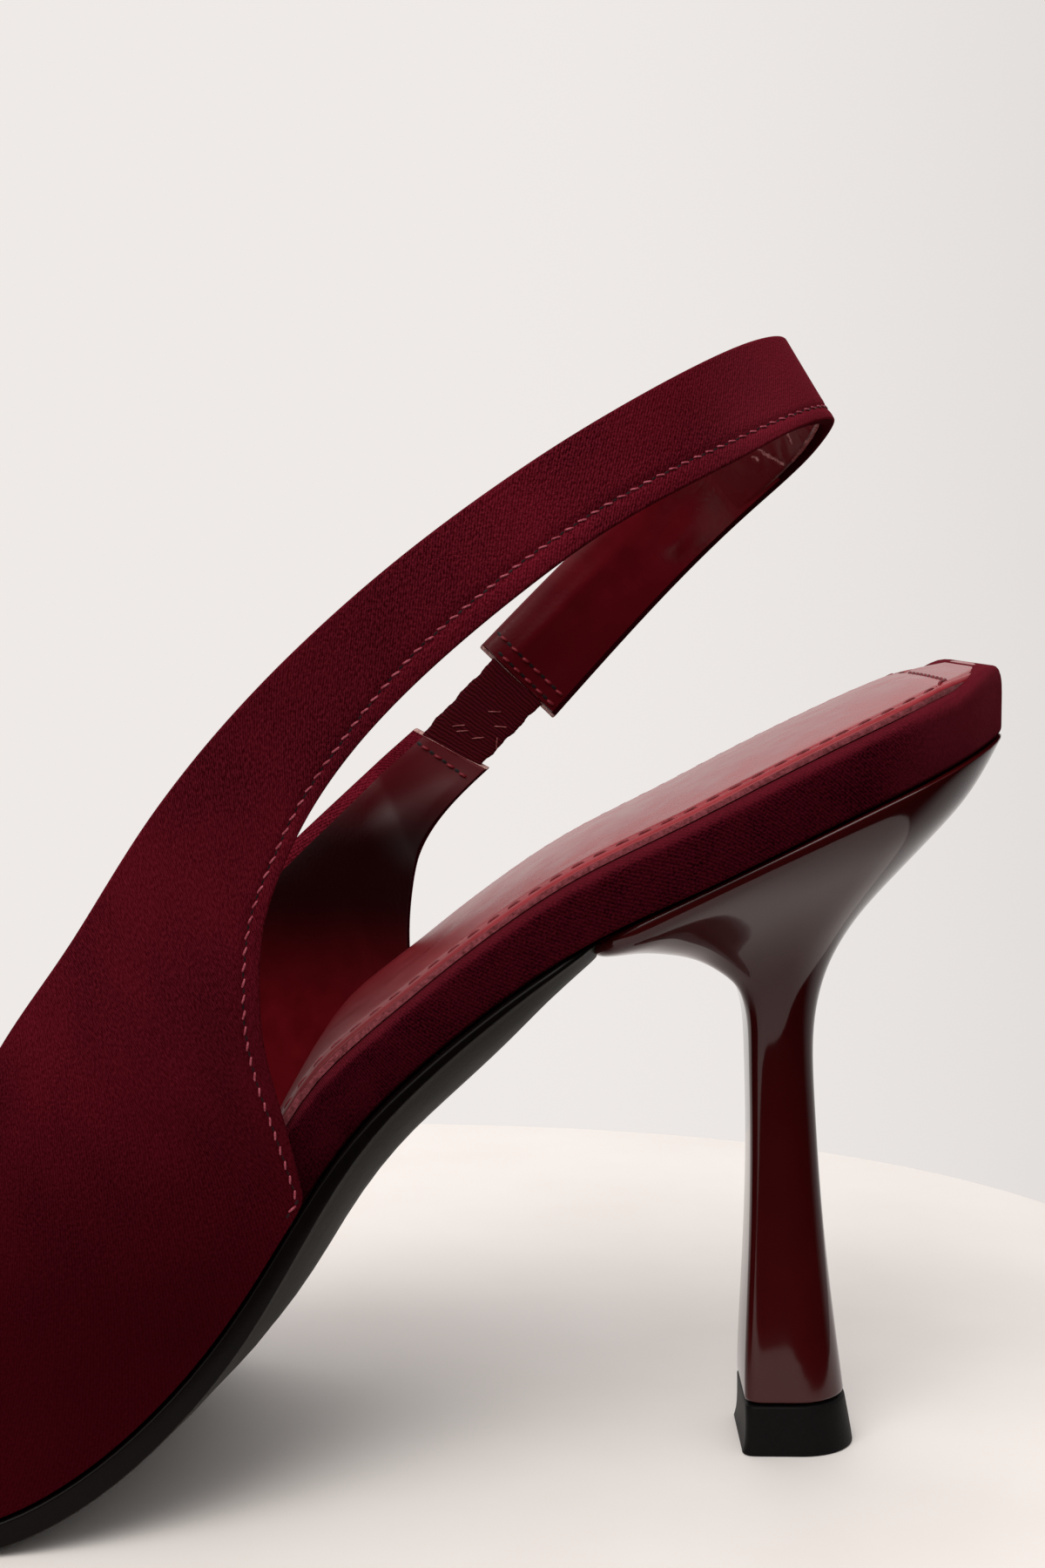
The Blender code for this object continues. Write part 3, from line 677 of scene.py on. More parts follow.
# Depth and width of the unevenness, and the rows over which it comes in from the lower edge.
UNEVEN_DEPTH, UNEVEN_MM, UNEVEN_ROWS = 0.16, 13.0, 8
# The seam's trough on the rows beside it, the wall where it thins towards its fold, and by how much the
# lining is cut shorter at the ends, on the last rib and on the one beside it.
SEAM_TROUGH = (0.03, 0.03, -0.10, -0.24, -0.10, 0.02)
FOLD_THICKNESS = (1.55, 1.45, 1.2, 0.85, 0.5)
END_CUT, BESIDE_CUT = 0.8, 0.7

skin_way = outward(upper_grid)
row_number = np.arange(upper_grid.shape[1])
uneven = np.array([[noise.noise(Vector(point) / UNEVEN_MM) for point in row] for row in upper_grid])
fade = np.clip(row_number / UNEVEN_ROWS, 0.0, 1.0)
upper_grid = upper_grid + skin_way * (UNEVEN_DEPTH * uneven * fade)[:, :, None]
seam_rows = np.zeros(len(row_number))
seam_rows[2:8] = SEAM_TROUGH
outer_skin = upper_grid + skin_way * (seam_share[:, None] * seam_rows)[:, :, None]
toe_from, toe_to = len(strap) + len(outer_quarter) - 6, inner_seam - SOLE_RIBS[MEDIAL] + 2
in_toe = (rib_number > toe_from) & (rib_number < toe_to)
thickness = np.full(upper_grid.shape[:2], WALL)
thickness[~in_toe, -len(FOLD_THICKNESS):] = FOLD_THICKNESS

# Creases that the foot has pressed into the lining: two ends as station, breadth and height, the height
# of the ridge, below 0 for a trough, and half its width.
lining_creases = (
    (((61.2, 28.4, 96.1), (42.5, 24.6, 116.0)), 0.60, 1.4),
    (((58.0, 28.6, 92.5), (49.0, 27.4, 102.5)), -0.25, 1.4),
    (((38.0, 22.5, 113.0), (33.0, 20.5, 121.5)), 0.30, 1.4),
    (((69.5, 28.0, 79.0), (80.0, 29.5, 72.5)), 0.30, 2.6),
    (((68.5, 28.0, 82.0), (79.0, 29.5, 77.0)), -0.20, 2.0),
    (((88.0, 31.0, 58.0), (82.0, 29.0, 44.0)), 0.35, 2.5))


def line_distance(points, ends):
    """Distance of points from the line between two ends."""
    start, span = np.array(ends[0]), np.array(ends[1]) - np.array(ends[0])
    share = np.clip((points - start) @ span / (span @ span), 0.0, 1.0)
    return np.linalg.norm(points - start - share[..., None] * span, axis=-1)


inner_skin = upper_grid - skin_way * thickness[:, :, None]
clear_of_edges = np.clip(np.minimum(row_number - 1, len(row_number) - 4 - row_number) / 3.0, 0.0, 1.0)
ridges = sum(rise * np.exp(-(line_distance(inner_skin, ends) / half) ** 2)
             for ends, rise, half in lining_creases)
inner_skin = inner_skin - skin_way * (ridges * clear_of_edges)[:, :, None]

# The lining is cut a little shorter than the satin at the ends, so its raw edge looks inwards.
for end, beside in ((0, 1), (-1, -2)):
    back = inner_skin[beside] - inner_skin[end]
    back /= np.linalg.norm(back, axis=1, keepdims=True)
    inner_skin[end] += END_CUT * back
    inner_skin[beside] += BESIDE_CUT * back

# Both sides of the toe share the points of the ridge.
outer_point = len(strap) + len(outer_quarter) - 2
inner_point = outer_point + 2 * len(toe_stations) + 1
for k in range(len(toe_stations) + 1):
    for skin in (outer_skin, inner_skin):
        shared = 0.5 * (skin[outer_point + k, -1] + skin[inner_point - k, -1])
        skin[outer_point + k, -1] = skin[inner_point - k, -1] = shared
print("upper grid", upper_grid.shape[:2])

# %% [markdown]
# Satin outside, lining inside: two grids with the same rows, joined along every open edge. A Solidify
# modifier could give the second skin, but then the lining would copy the seam's trough, and on the real
# shoe the lining lies flat behind it. One level of subdivision rounds the fold of the top edge.

# %% Upper
upper_materials = (satin, strap_lining, raw_edge, quarter_lining, turned_satin_painted_shade)
SATIN, STRAP_LINING, RAW_EDGE, QUARTER_LINING, TURNED_SATIN_PAINTED_SHADE = range(len(upper_materials))
LOOP_BACK = 14.0


def double_wall(outer, inner, joined, lining):
    """Closed wall between two grids. Points of the last row that coincide are joined if they are listed.

    The lining gives the material of each of the inner faces.
    """
    rows, count = outer.shape[:2]
    bm = bmesh.new()
    uv = bm.loops.layers.uv.new("cloth")
    along, across = mean_run(outer), np.array([run_lengths(row) for row in outer])
    skins = [[[bm.verts.new(point) for point in row] for row in skin] for skin in (outer, inner)]
    for skin in skins:
        for a, b in joined:
            bm.verts.remove(skin[b][-1])
            skin[b][-1] = skin[a][-1]

    def quad(skin_of, corners, material):
        """Face between corners on the two skins, each corner point taken once."""
        verts, places = [], []
        for skin, (a, b) in zip(skin_of, corners):
            if skins[skin][a][b] not in verts:
                verts.append(skins[skin][a][b])
                places.append((along[a], across[a][b]))
        face = bm.faces.new(verts)
        face.material_index = material
        for loop, where in zip(face.loops, places):
            loop[uv].uv = where

    for i in range(rows - 1):
        for j in range(count - 1):
            around = ((i, j), (i, j + 1), (i + 1, j + 1), (i + 1, j))
            quad((0, 0, 0, 0), around, SATIN)
            quad((1, 1, 1, 1), around[::-1], int(lining[i, j]))
    last = count - 1
    for i in range(rows - 1):
        quad((0, 0, 1, 1), ((i, 0), (i + 1, 0), (i + 1, 0), (i, 0)), int(lining[i, 0]))
        if i not in range(*joined[0]):
            quad((0, 0, 1, 1), ((i + 1, last), (i, last), (i, last), (i + 1, last)), SATIN)
    for j in range(last):
        quad((0, 0, 1, 1), ((0, j + 1), (0, j), (0, j), (0, j + 1)), RAW_EDGE)
        quad((0, 0, 1, 1), ((rows - 1, j), (rows - 1, j + 1), (rows - 1, j + 1), (rows - 1, j)), RAW_EDGE)
    return bm


ridge = [(outer_point + k, inner_point - k) for k in range(len(toe_stations) + 1)]
# The satin is turned under along the lower edge, most of all at the back of the loop, and it is turned
# in over the lining along the top edge of the quarters. The turned-under cloth is a much darker copy of
# the satin, as painted shade, and the inner quarter's lining is a copy of the lining with painted shade.
lining = np.full((len(ribs) - 1, upper_grid.shape[1] - 1), QUARTER_LINING)
lining[:outer_point + len(toe_stations)] = STRAP_LINING
lining[len(strap) + 4:, -3:] = SATIN
lining[:, 0] = TURNED_SATIN_PAINTED_SHADE
lining[:len(strap), 1] = TURNED_SATIN_PAINTED_SHADE
lining[:len(strap)][np.abs(edge_points[:len(strap), 1]) < LOOP_BACK, :3] = TURNED_SATIN_PAINTED_SHADE
bm = double_wall(in_frame(outer_skin), in_frame(inner_skin), ridge, lining)
upper = piece("satin_upper", bm, upper_materials, "upper_satin", "upper")
rounding = upper.modifiers.new("soft edges", "SUBSURF")
rounding.levels = rounding.render_levels = 1
upper_surface = surface_of(upper)

# %% [markdown]
# A leather grip is glued inside the back of the loop, so that the strap does not slip off the heel. Its
# cut edge is pale and ragged, and bending has cracked its face in three places. It could be a colour drawn
# on the lining, but a true step of half a millimetre catches the light along its edge.

# %% Heel grip
# Breadths between which the grip lies, the row it is measured on, and its borders, thickness and steps.
GRIP_FROM, GRIP_TO, GRIP_ROW = 19.0, -2.0, 12
GRIP_LOW, GRIP_HIGH, GRIP_THICKNESS, GRIP_STEP = 0.9, 1.3, 0.5, 0.18
# Its pared end, rounded edge and glued depth, then its cracks, ragged edges, wrinkles and worn corner.
GRIP_TAPER, GRIP_EDGE, GRIP_SINK, CRACK_HALF, CRACK_DEPTH = 13.0, 0.5, 0.12, 0.2, 0.06
RAGGED_DEPTH, RAGGED_PER_MM, WRINKLE_DEPTH, WORN_FROM, WORN_HEIGHT = 0.12, 1.7, 0.018, 15.0, 0.35
# Cracks as pairs of points: length along the grip, height above its lower border.
grip_cracks = np.array((
    ((17.7, 4.6), (17.1, 1.9)), ((11.2, 5.0), (13.6, 0.9)), ((10.1, 4.2), (10.5, 3.5))))
loop_inside, loop_way = inner_skin[:len(strap)], skin_way[:len(strap)]
loop_run = run_lengths(loop_inside[:, GRIP_ROW])
grip_start, grip_end = np.interp((-GRIP_FROM, -GRIP_TO), -loop_inside[:, GRIP_ROW, 1], loop_run)


def along_loop(grid, place):
    """Row of a grid's points at a length along the loop."""
    return np.array([walk(grid[:, j], loop_run, place) for j in range(grid.shape[1])])


grip_rows, grip_pale = [], []
for place in np.arange(grip_start, grip_end, GRIP_STEP):
    row, way_row = along_loop(loop_inside, place), along_loop(loop_way, place)
    row_run = run_lengths(row)
    heights = np.linspace(GRIP_LOW, row_run[-1] - GRIP_HIGH, 52)
    points_row, pale_row = [], []
    for height in heights:
        flat = np.array((place - grip_start, height - GRIP_LOW))
        ragged = RAGGED_DEPTH * noise.noise(Vector((flat[0], flat[1], 0.0)) * RAGGED_PER_MM)
        border = min(flat[0], grip_end - place, flat[1], heights[-1] - height)
        crack = min(line_distance(flat + ragged, ends) for ends in grip_cracks)
        taper = min(1.0, flat[0] / GRIP_TAPER)
        wrinkle = WRINKLE_DEPTH * taper ** 2 * sin(2.2 * flat[0] + 1.5 * sin(1.3 * flat[1]))
        lift_off = GRIP_THICKNESS * taper * min(1.0, sqrt(border / GRIP_EDGE)) - GRIP_SINK + wrinkle
        if crack < CRACK_HALF:
            lift_off -= CRACK_DEPTH
        points_row.append(walk(row, row_run, height) - lift_off * walk(way_row, row_run, height))
        worn = flat[0] > WORN_FROM and flat[1] < WORN_HEIGHT + 2.0 * ragged
        pale_row.append(worn or crack < 0.15 + 0.5 * ragged)
    grip_rows.append(points_row)
    grip_pale.append(pale_row)
bm, points = cloth_grid(in_frame(grip_rows))
bmesh.ops.recalc_face_normals(bm, faces=bm.faces)
bm.faces.ensure_lookup_table()
grip_middle = bm.faces[len(bm.faces) // 2]
if grip_middle.normal.x > 0.0:
    bmesh.ops.reverse_faces(bm, faces=bm.faces)
pale_points = {point for row, pale_row in zip(points, grip_pale)
               for point, is_pale in zip(row, pale_row) if is_pale}
for face in bm.faces:
    face.material_index = 1 if sum(vert in pale_points for vert in face.verts) > 1 else 0
worn_edge = cut_leather("worn_grip_edge", "#7a2c34", "#b8817f")
piece("heel_grip", bm, (grip_leather, worn_edge), "upper_satin")

# %% [markdown]
# The seam that holds satin and lining together is lockstitched with a rosy polyester thread. Each
# stitch is a short arched piece of thread that dives into a needle hole at both ends and lies a little
# askew, because of the twist. The holes between the stitches are drawn as small dark lenses of painted
# shadow.

# %% Thread and needle holes
def spun_thread(name, shade, bright):
    """Twisted polyester thread: a soft gloss on a round, ridged strand."""
    material, tree = new_material(name)
    twist = clouds(tree, on_object(tree), 0.35, detail=2.0)
    principled(tree, {
        "Base Color": blend(tree, ramp(tree, twist, 0.35, 0.65), shade, bright), "Roughness": 0.5,
        "IOR": 1.5, "Specular IOR Level": 0.25, "Normal": bump(tree, twist, 0.4, 0.05)})
    return material


rosy_thread = spun_thread("rosy_polyester_thread", "#862d3c", "#b25967")
dark_thread = spun_thread("dark_polyester_thread", "#5c131b", "#782029")
red_thread = spun_thread("red_polyester_thread", "#5e0f19", "#7a1f2a")
needle_hole_painted_shadow = spun_thread("needle_hole_shadow", "#0c0103", "#160306")


def add_stitch(bm, place, normal, along, length, radius):
    """One arched piece of thread."""
    across = normal.cross(along)
    sides, steps = 6, 6
    rings = []
    for step in range(steps + 1):
        share = 2.0 * step / steps - 1.0
        centre = place + along * (0.5 * length * share) + normal * (radius * (0.55 - 1.5 * share ** 4))
        thick = radius * (1.0 - 0.45 * share ** 4)
        rings.append([bm.verts.new(centre + thick * (across * cos(a) + normal * sin(a)))
                      for a in np.linspace(0.0, 2.0 * pi, sides, endpoint=False)])
    for ring, following in zip(rings, rings[1:]):
        for i in range(sides):
            j = (i + 1) % sides
            bm.faces.new((ring[i], ring[j], following[j], following[i]))
    bm.faces.new(rings[0][::-1])
    bm.faces.new(rings[-1])


def add_hole(bm, place, normal, along, half_length, half_width):
    """A dark lens that fills a needle hole: painted shadow."""
    across = normal.cross(along)
    rim = 10
    crown = bm.verts.new(place + normal * 0.05 * MM)
    edge = [bm.verts.new(place + along * (half_length * cos(a)) + across * (half_width * sin(a)))
            for a in np.linspace(0.0, 2.0 * pi, rim, endpoint=False)]
    for i in range(rim):
        bm.faces.new((crown, edge[i], edge[(i + 1) % rim])).material_index = 1


def lay_stitches(name, paths, surface, threads, slot, pitch, length, radius, hole, askew=0.0):
    """Rows of stitches pressed on a surface along paths of points in metres.

    A hole is given by half its length and half its width. Sizes are in millimetres, askew in degrees.
    """
    bm = bmesh.new()
    pitch, length, radius, half_length, half_width = (size * MM for size in (pitch, length, radius, *hole))
    count = 0
    for path in paths:
        run = run_lengths(path)
        for k in range(int(run[-1] / pitch)):
            for share, is_hole in ((k + 0.5, False), (k + 1.0, True)):
                spot, ahead = (Vector(point) for point in walk(
                    path, run, np.array((share * pitch, share * pitch + 0.3 * MM))))
                place, normal, _, _ = surface.find_nearest(spot)
                along = ahead - spot
                along = (along - normal * along.dot(normal)).normalized()
                if is_hole:
                    add_hole(bm, place, normal, along, half_length, half_width)
                else:
                    along.rotate(Matrix.Rotation(radians(askew), 3, normal))
                    add_stitch(bm, place, normal, along, length, radius)
                    count += 1
    print(name, "has", count, "stitches")
    piece(name, bm, threads, slot)


# %% Seam along the strap and the quarters
seam = in_frame(outer_skin[:, SEAM_ROW])
lay_stitches("edge_seam", (seam[2:outer_seam + 1], seam[inner_seam:-2]), upper_surface,
             (rosy_thread, needle_hole_painted_shadow), "upper_satin", pitch=1.8, length=1.25, radius=0.14,
             hole=(0.32, 0.16), askew=-18.0)

# %% [markdown]
# Where the strap is cut off and where the tab ends, the lining shows its raw, pale edge, and rows of
# red stitches hold the elastic between the two layers. The elastic is a woven tape, ribbed across,
# whose edges pucker a little because it was sewn in slightly stretched.

# %% Rows that hold the elastic
# Each row runs across a cut end on the lining side: two on the strap, one on the tab.
inside = in_frame(inner_skin)
lay_stitches("end_seam", (inside[3, 2:-2], inside[5, 2:-1], inside[-5, 2:-2]), upper_surface,
             (red_thread, needle_hole_painted_shadow), "upper_satin", pitch=2.1, length=1.3, radius=0.24,
             hole=(0.42, 0.24), askew=8.0)

# %% Ribbed webbing
webbing, tree = new_material("ribbed_elastic_webbing")
tape = add(tree, "TexCoord").outputs["UV"]
waves = add(tree, "TexWave", {"Vector": tape, "Scale": bands_per_metre(0.5), "Distortion": 4.0})
picks = waves.outputs["Fac"]
relief = reckon(tree, "ADD", picks, clouds(tree, tape, 0.4, detail=3.0))
principled(tree, {"Base Color": blend(tree, picks, "#2e040a", "#470b14"), "Roughness": 0.7, "IOR": 1.45,
                  "Specular IOR Level": 0.05, "Normal": bump(tree, relief, 0.35, 0.2)})

# %% Elastic
RIB_SPACING, RIB_HEIGHT, SWAY = 0.6, 0.018, 0.10
# Waves of the tape's two edges: their height, and how far they turn from one end to the other.
EDGE_WAVES = ((0.09, 19.0), (0.05, 43.0))


def squared(value, power):
    """A sine or cosine drawn out towards a square, the more so the smaller the power."""
    return np.sign(value) * np.abs(value) ** power


def elastic_rows(start, end, width, thickness, tuck):
    """Closed cross-sections of the tape between the middles of two bands."""
    (low_a, top_a), (low_b, top_b) = np.array(start), np.array(end)
    middle_a, middle_b = 0.5 * (low_a + top_a), 0.5 * (low_b + top_b)
    along = (middle_b - middle_a) / np.linalg.norm(middle_b - middle_a)
    ribs_count = np.linalg.norm(middle_b - middle_a) / RIB_SPACING
    rows = []
    for share in np.linspace(0.0, 1.0, 200):
        centre = middle_a - along * tuck + (middle_b - middle_a + 2.0 * along * tuck) * share
        across = (top_a - low_a) * (1.0 - share) + (top_b - low_b) * share
        across /= np.linalg.norm(across)
        thin = np.cross(across, along)
        thin /= np.linalg.norm(thin)
        rib = RIB_HEIGHT * sin(share * ribs_count * 2.0 * pi)
        half = 0.5 * width + sum(high * sin(share * turn) for high, turn in EDGE_WAVES) + 0.8 * rib
        centre = centre + np.array((0.0, -0.5 * WALL, 0.0))
        ring = []
        for angle in np.linspace(0.0, 2.0 * pi, 36, endpoint=False):
            flat, deep = squared(cos(angle), 0.35), squared(sin(angle), 0.45)
            wave = SWAY * sin(share * 13.0 + 2.5 * flat)
            ring.append(centre + across * half * flat + thin * (deep * (0.5 * thickness + rib) + wave))
        rows.append(ring)
    return in_frame(rows)


tape_rows = elastic_rows(strap_bands[0], tab_bands[-1], width=9.0, thickness=0.9, tuck=1.5)
elastic = piece("elastic_tape", closed_grid(tape_rows), (webbing,), "elastic_webbing", "elastic")

# A few pale threads of the rubber cores show on the side towards the foot.
pale_thread = spun_thread("pale_elastic_thread", "#6a2a2e", "#9a5a5a")
foot_side = np.array([min(row, key=lambda point: point[1]) for row in tape_rows[70:160]])
lay_stitches("elastic_threads", (foot_side,), surface_of(elastic), (pale_thread, webbing),
             "elastic_webbing", pitch=3.1, length=1.9, radius=0.1, hole=(0.1, 0.05), askew=38.0)

# %% [markdown]
# The bottom of the shoe is a stack of layers, each drawn as upright cuts from back to toe. The insole
# board is covered with the same satin, which shows as a thick rounded rim from the waist to the back and
# is raised a little behind the sock. The rim's satin is drawn darker, as painted shade, with painted
# highlights at its back and on its rounded top.

# %% Layers of the bottom
def layer_stations(back, toe):
    """Stations with close spacing at both rounded ends."""
    ends = 14.0 * np.linspace(0.0, 1.0, 18) ** 2
    return np.concatenate((back + ends, np.arange(back + 16.0, toe - 15.0, 2.0), toe - ends[::-1]))


def layer_cut(station, low, high, half, top_round, low_round, belly):
    """Closed upright cut: bellied underside, rounded lower and upper edges, level top."""
    swing = float(bottom["swing"](station))
    shares = np.sin(np.linspace(-0.5, 0.5, 13) * pi)
    under = [(half - low_round) * s for s in shares]
    cut = [(y, low - belly * (1.0 - s ** 4)) for y, s in zip(under, shares)]
    turns = np.linspace(0.0, 0.5 * pi, 6)
    side = [(half - low_round * (1.0 - sin(a)), low + low_round * (1.0 - cos(a))) for a in turns[1:]]
    side += [(half - top_round * (1.0 - cos(a)), high - top_round * (1.0 - sin(a))) for a in turns]
    over = [((half - top_round) * s, high) for s in np.linspace(1.0, -1.0, 13)[1:-1]]
    cut += side + over + [(-y, z) for y, z in reversed(side)]
    return [(station, swing + y, z) for y, z in cut]


BED_TOE, BED_ROUND, BACK_RAISE, BACK_DROP = 230.0, 3.4, 1.6, 0.65


def ease_back(station, reach, length):
    """Rises softly from 0 at a station, called its reach, to 1 nearer to the back."""
    share = np.clip((reach - station) / length, 0.0, 1.0)
    return share ** 2 * (3.0 - 2.0 * share)


def bed_top(station):
    """Top of the board, a little flatter at the back."""
    rise = bottom["bed"](station) * slant(station)
    return bottom["feather"](station) + rise - BACK_DROP * ease_back(station, 10.0, 6.0)


def rim_top(station):
    """Top of the satin, raised behind the sock and rounded off at the back."""
    raised = BACK_RAISE * ease_back(station, 9.0, 5.0)
    return bed_top(station) + raised - end_round(station - SEAT_BACK, BED_ROUND)


cuts = [layer_cut(s, bottom["feather"](s), rim_top(s), half_breadth(s, 0.0, toe=BED_TOE), top_round=2.2,
                  low_round=0.5, belly=0.0) for s in layer_stations(SEAT_BACK, BED_TOE)]
piece("satin_rim", closed_grid(in_frame(cuts)), (cross_satin_painted_shade,), "rim_satin", "footbed")

# %% [markdown]
# The sock is a piece of leather cut a little smaller than the board and glued on, with a decorative
# line of stitches just inside its edge. The stitches press a groove, and the strip outside the groove
# is pared down to a thin edge that catches the light. It is slightly crowned under the heel of the foot.

# %% Sock
SOCK_BACK, SOCK_TOE, SOCK_INSET, SOCK_LIFT, SOCK_THICKNESS = 3.4, 222.0, 1.4, 0.05, 1.35
SOCK_SEAM, BACK_SEAM, SEAM_CORNER, SEAM_DEPTH, SOCK_CROWN = 1.5, 5.0, 3.0, 0.3, 0.7
# Edge of the sock, from its foot over the pared strip and the groove: inset, and height below the top.
sock_edge_line = (
    (0.0, -1.2), (0.0, -0.72), (0.1, -0.55), (0.3, -0.42), (0.6, -0.28), (0.9, -0.22), (1.1, -0.24),
    (1.3, -0.28), (SOCK_SEAM, -SEAM_DEPTH), (1.7, -0.26), (2.1, -0.12), (2.8, -0.03), (3.8, 0.0))


def sock_half(station):
    """Half breadth of the sock."""
    return half_breadth(station, -SOCK_INSET, SOCK_BACK, SOCK_TOE)


def sock_cut(station):
    """Closed cut of the sock, with the groove of its stitches and a pared strip outside it."""
    steep = float(slant(station))
    half = float(sock_half(station))
    swing = float(bottom["swing"](station))
    low = float(bed_top(station)) + SOCK_LIFT * steep
    high = low + SOCK_THICKNESS * steep
    fit = min(1.0, half / 6.0)
    trough = SEAM_DEPTH * steep * exp(-((station - SOCK_BACK - BACK_SEAM) / 0.9) ** 2)
    side = [(half - inset * fit, high + rise * steep - trough * (inset > SOCK_SEAM + 1.0))
            for inset, rise in sock_edge_line]
    crown = SOCK_CROWN * ease_back(station, 105.0, 35.0) * (1.0 - ease_back(station, 13.0, 6.0))
    across = np.linspace(1.0, -1.0, 11)[1:-1]
    inner = [(side[-1][0] * share, high - trough + crown * (1.0 - share ** 2)) for share in across]
    cut = [(half * share, low) for share in np.linspace(-1.0, 1.0, 9)]
    cut += side + inner + [(-y, z) for y, z in reversed(side)]
    return [(station, swing + y, z) for y, z in cut]


bm = closed_grid(in_frame([sock_cut(s) for s in layer_stations(SOCK_BACK, SOCK_TOE)]))
for face in bm.faces:
    face.material_index = 1 if abs(face.normal.z) < 0.6 and face.normal.z < 0.3 else 0
sock = piece("leather_sock", bm, (sock_skin, sock_edge_painted_highlight), "sock_leather", "sock")
sock_surface = surface_of(sock)

seam_stations = np.concatenate((SOCK_BACK + BACK_SEAM + 14.0 * np.linspace(0.0, 1.0, 24) ** 2,
                                np.arange(22.0, 140.0, 1.5)))
seam_half = sock_half(seam_stations) - SOCK_SEAM - end_round(seam_stations - seam_stations[0], SEAM_CORNER)
seam_top = bed_top(seam_stations) + (SOCK_LIFT + SOCK_THICKNESS - SEAM_DEPTH) * slant(seam_stations)
seam_swing = bottom["swing"](seam_stations)
near_row = np.stack((seam_stations, seam_swing - seam_half, seam_top), axis=-1)
far_row = np.stack((seam_stations, seam_swing + seam_half, seam_top), axis=-1)
# On the inner side the thread is pulled deeper into the leather.
outer_row, inner_row = in_frame(np.concatenate((near_row[::-1], far_row[:1]))), in_frame(far_row)
for name, row, radius in (("sock_seam", outer_row, 0.2), ("sock_seam_inner_side", inner_row, 0.12)):
    lay_stitches(name, (row,), sock_surface, (dark_thread, dark_thread), "sock_leather", pitch=2.9,
                 length=2.1, radius=radius, hole=(0.2, 0.1))

# %% [markdown]
# The outsole is a thin sheet of black resin. Its edge was inked and waxed, so it is glossy, and its
# underside was only buffed, so it stays a dull dark grey. It could be one black material, but the
# two finishes are what make it read as a cut sheet. Its rounded end is tucked into the front of the heel.

# %% Waxed edge and buffed underside
def resin_sole(name, dark, light, roughness, grit_mm, strength):
    """Black sole resin with a given polish."""
    material, tree = new_material(name)
    place = on_object(tree)
    grit = clouds(tree, place, grit_mm, detail=4.0)
    rub = clouds(tree, place, 9.0, detail=3.0)
    principled(tree, {
        "Base Color": blend(tree, grit, dark, light), "IOR": 1.5, "Specular IOR Level": 0.08,
        "Roughness": ramp(tree, rub, 0.0, 1.0, low=roughness - 0.08, high=roughness + 0.10),
        "Normal": bump(tree, grit, strength, 0.1)})
    return material


waxed_edge = resin_sole("waxed_resin_edge", "#060404", "#0d0707", roughness=0.25, grit_mm=0.8,
                        strength=0.12)
buffed_sole = resin_sole("buffed_resin_underside", "#1d1b18", "#2b2824", roughness=0.55, grit_mm=0.5,
                         strength=0.4)

# %% Outsole
BREAST_STATION, WAIST_LENGTH, SOLE_TUCK, SOLE_ROUND = 49.6, 22.0, 0.5, 6.0
sole_cuts = []
for s in layer_stations(BREAST_STATION - SOLE_TUCK, TOE_END):
    spread = np.clip((s - BREAST_STATION) / WAIST_LENGTH, 0.0, 1.0)
    low = max(0.0, float(bottom["feather"](s) - bottom["edge"](s) * slant(s)))
    belly = min(low, max(0.0, float(bottom["belly"](s))) * slant(s))
    half = half_breadth(s, (WALL + 2.0 * GAP) * spread)
    half -= end_round(s - BREAST_STATION + SOLE_TUCK, SOLE_ROUND)
    high = bottom["feather"](s) - GAP * slant(s)
    sole_cuts.append(layer_cut(s, low, high, half, top_round=0.5, low_round=0.3, belly=belly))
bm = closed_grid(in_frame(sole_cuts))
for face in bm.faces:
    face.material_index = 1 if face.normal.z < -0.35 else 0
piece("resin_sole", bm, (waxed_edge, buffed_sole), "sole_rubber", "outsole")

# %% [markdown]
# The heel is moulded in ABS and sprayed with burgundy lacquer. Its cuts run from the breast, the side
# that faces the toe, to the back, and each is a D with a flat breast and a round back. Lacquer is a
# clear gloss over a dark colour, so nearly all that is seen of it is what it mirrors.

# %% Sprayed lacquer
lacquer, tree = new_material("sprayed_burgundy_lacquer")
flow = clouds(tree, on_object(tree), 7.0, detail=2.0)
principled(tree, {"Base Color": blend(tree, flow, "#330608", "#3c090b"), "Roughness": 0.07, "IOR": 1.45,
                  "Specular IOR Level": 0.41, "Normal": bump(tree, flow, 0.04, 0.5)})
lift_rubber = resin_sole("moulded_lift_rubber", "#060606", "#100f0f", roughness=0.5, grit_mm=0.4,
                         strength=0.35)

# %% Heel and top lift
# Breast station and height, back station and height, half breadth at the breast, full half breadth,
# and the radius of the back and of the corners at the breast.
heel_table = (
    (49.6, 66.2, 1.1, 90.0, 23.4, 25.0, 14.0, 6.0), (49.2, 64.0, 1.8, 88.4, 22.6, 24.4, 13.8, 6.0),
    (45.4, 63.8, 4.0, 83.6, 19.6, 21.8, 13.2, 5.6), (41.0, 63.3, 7.4, 78.6, 16.0, 18.2, 12.0, 5.0),
    (36.8, 62.0, 11.9, 73.0, 12.2, 14.2, 10.5, 4.2), (33.4, 59.9, 15.9, 68.0, 9.6, 11.0, 8.8, 3.4),
    (31.4, 57.6, 18.8, 63.4, 7.8, 8.9, 7.4, 2.8), (30.4, 53.8, 20.8, 58.4, 6.4, 7.4, 6.4, 2.3),
    (30.1, 48.6, 21.8, 51.6, 5.6, 6.2, 5.6, 2.0), (29.9, 41.0, 21.5, 42.6, 5.2, 5.6, 5.2, 1.8),
    (29.9, 31.0, 20.7, 31.6, 5.4, 5.7, 5.3, 1.8), (30.2, 20.0, 19.5, 20.2, 6.2, 6.4, 5.9, 1.8),
    (30.5, 11.0, 18.3, 11.0, 7.0, 7.1, 6.4, 1.8), (30.5, 6.5, 17.7, 6.5, 7.4, 7.5, 6.6, 1.8))
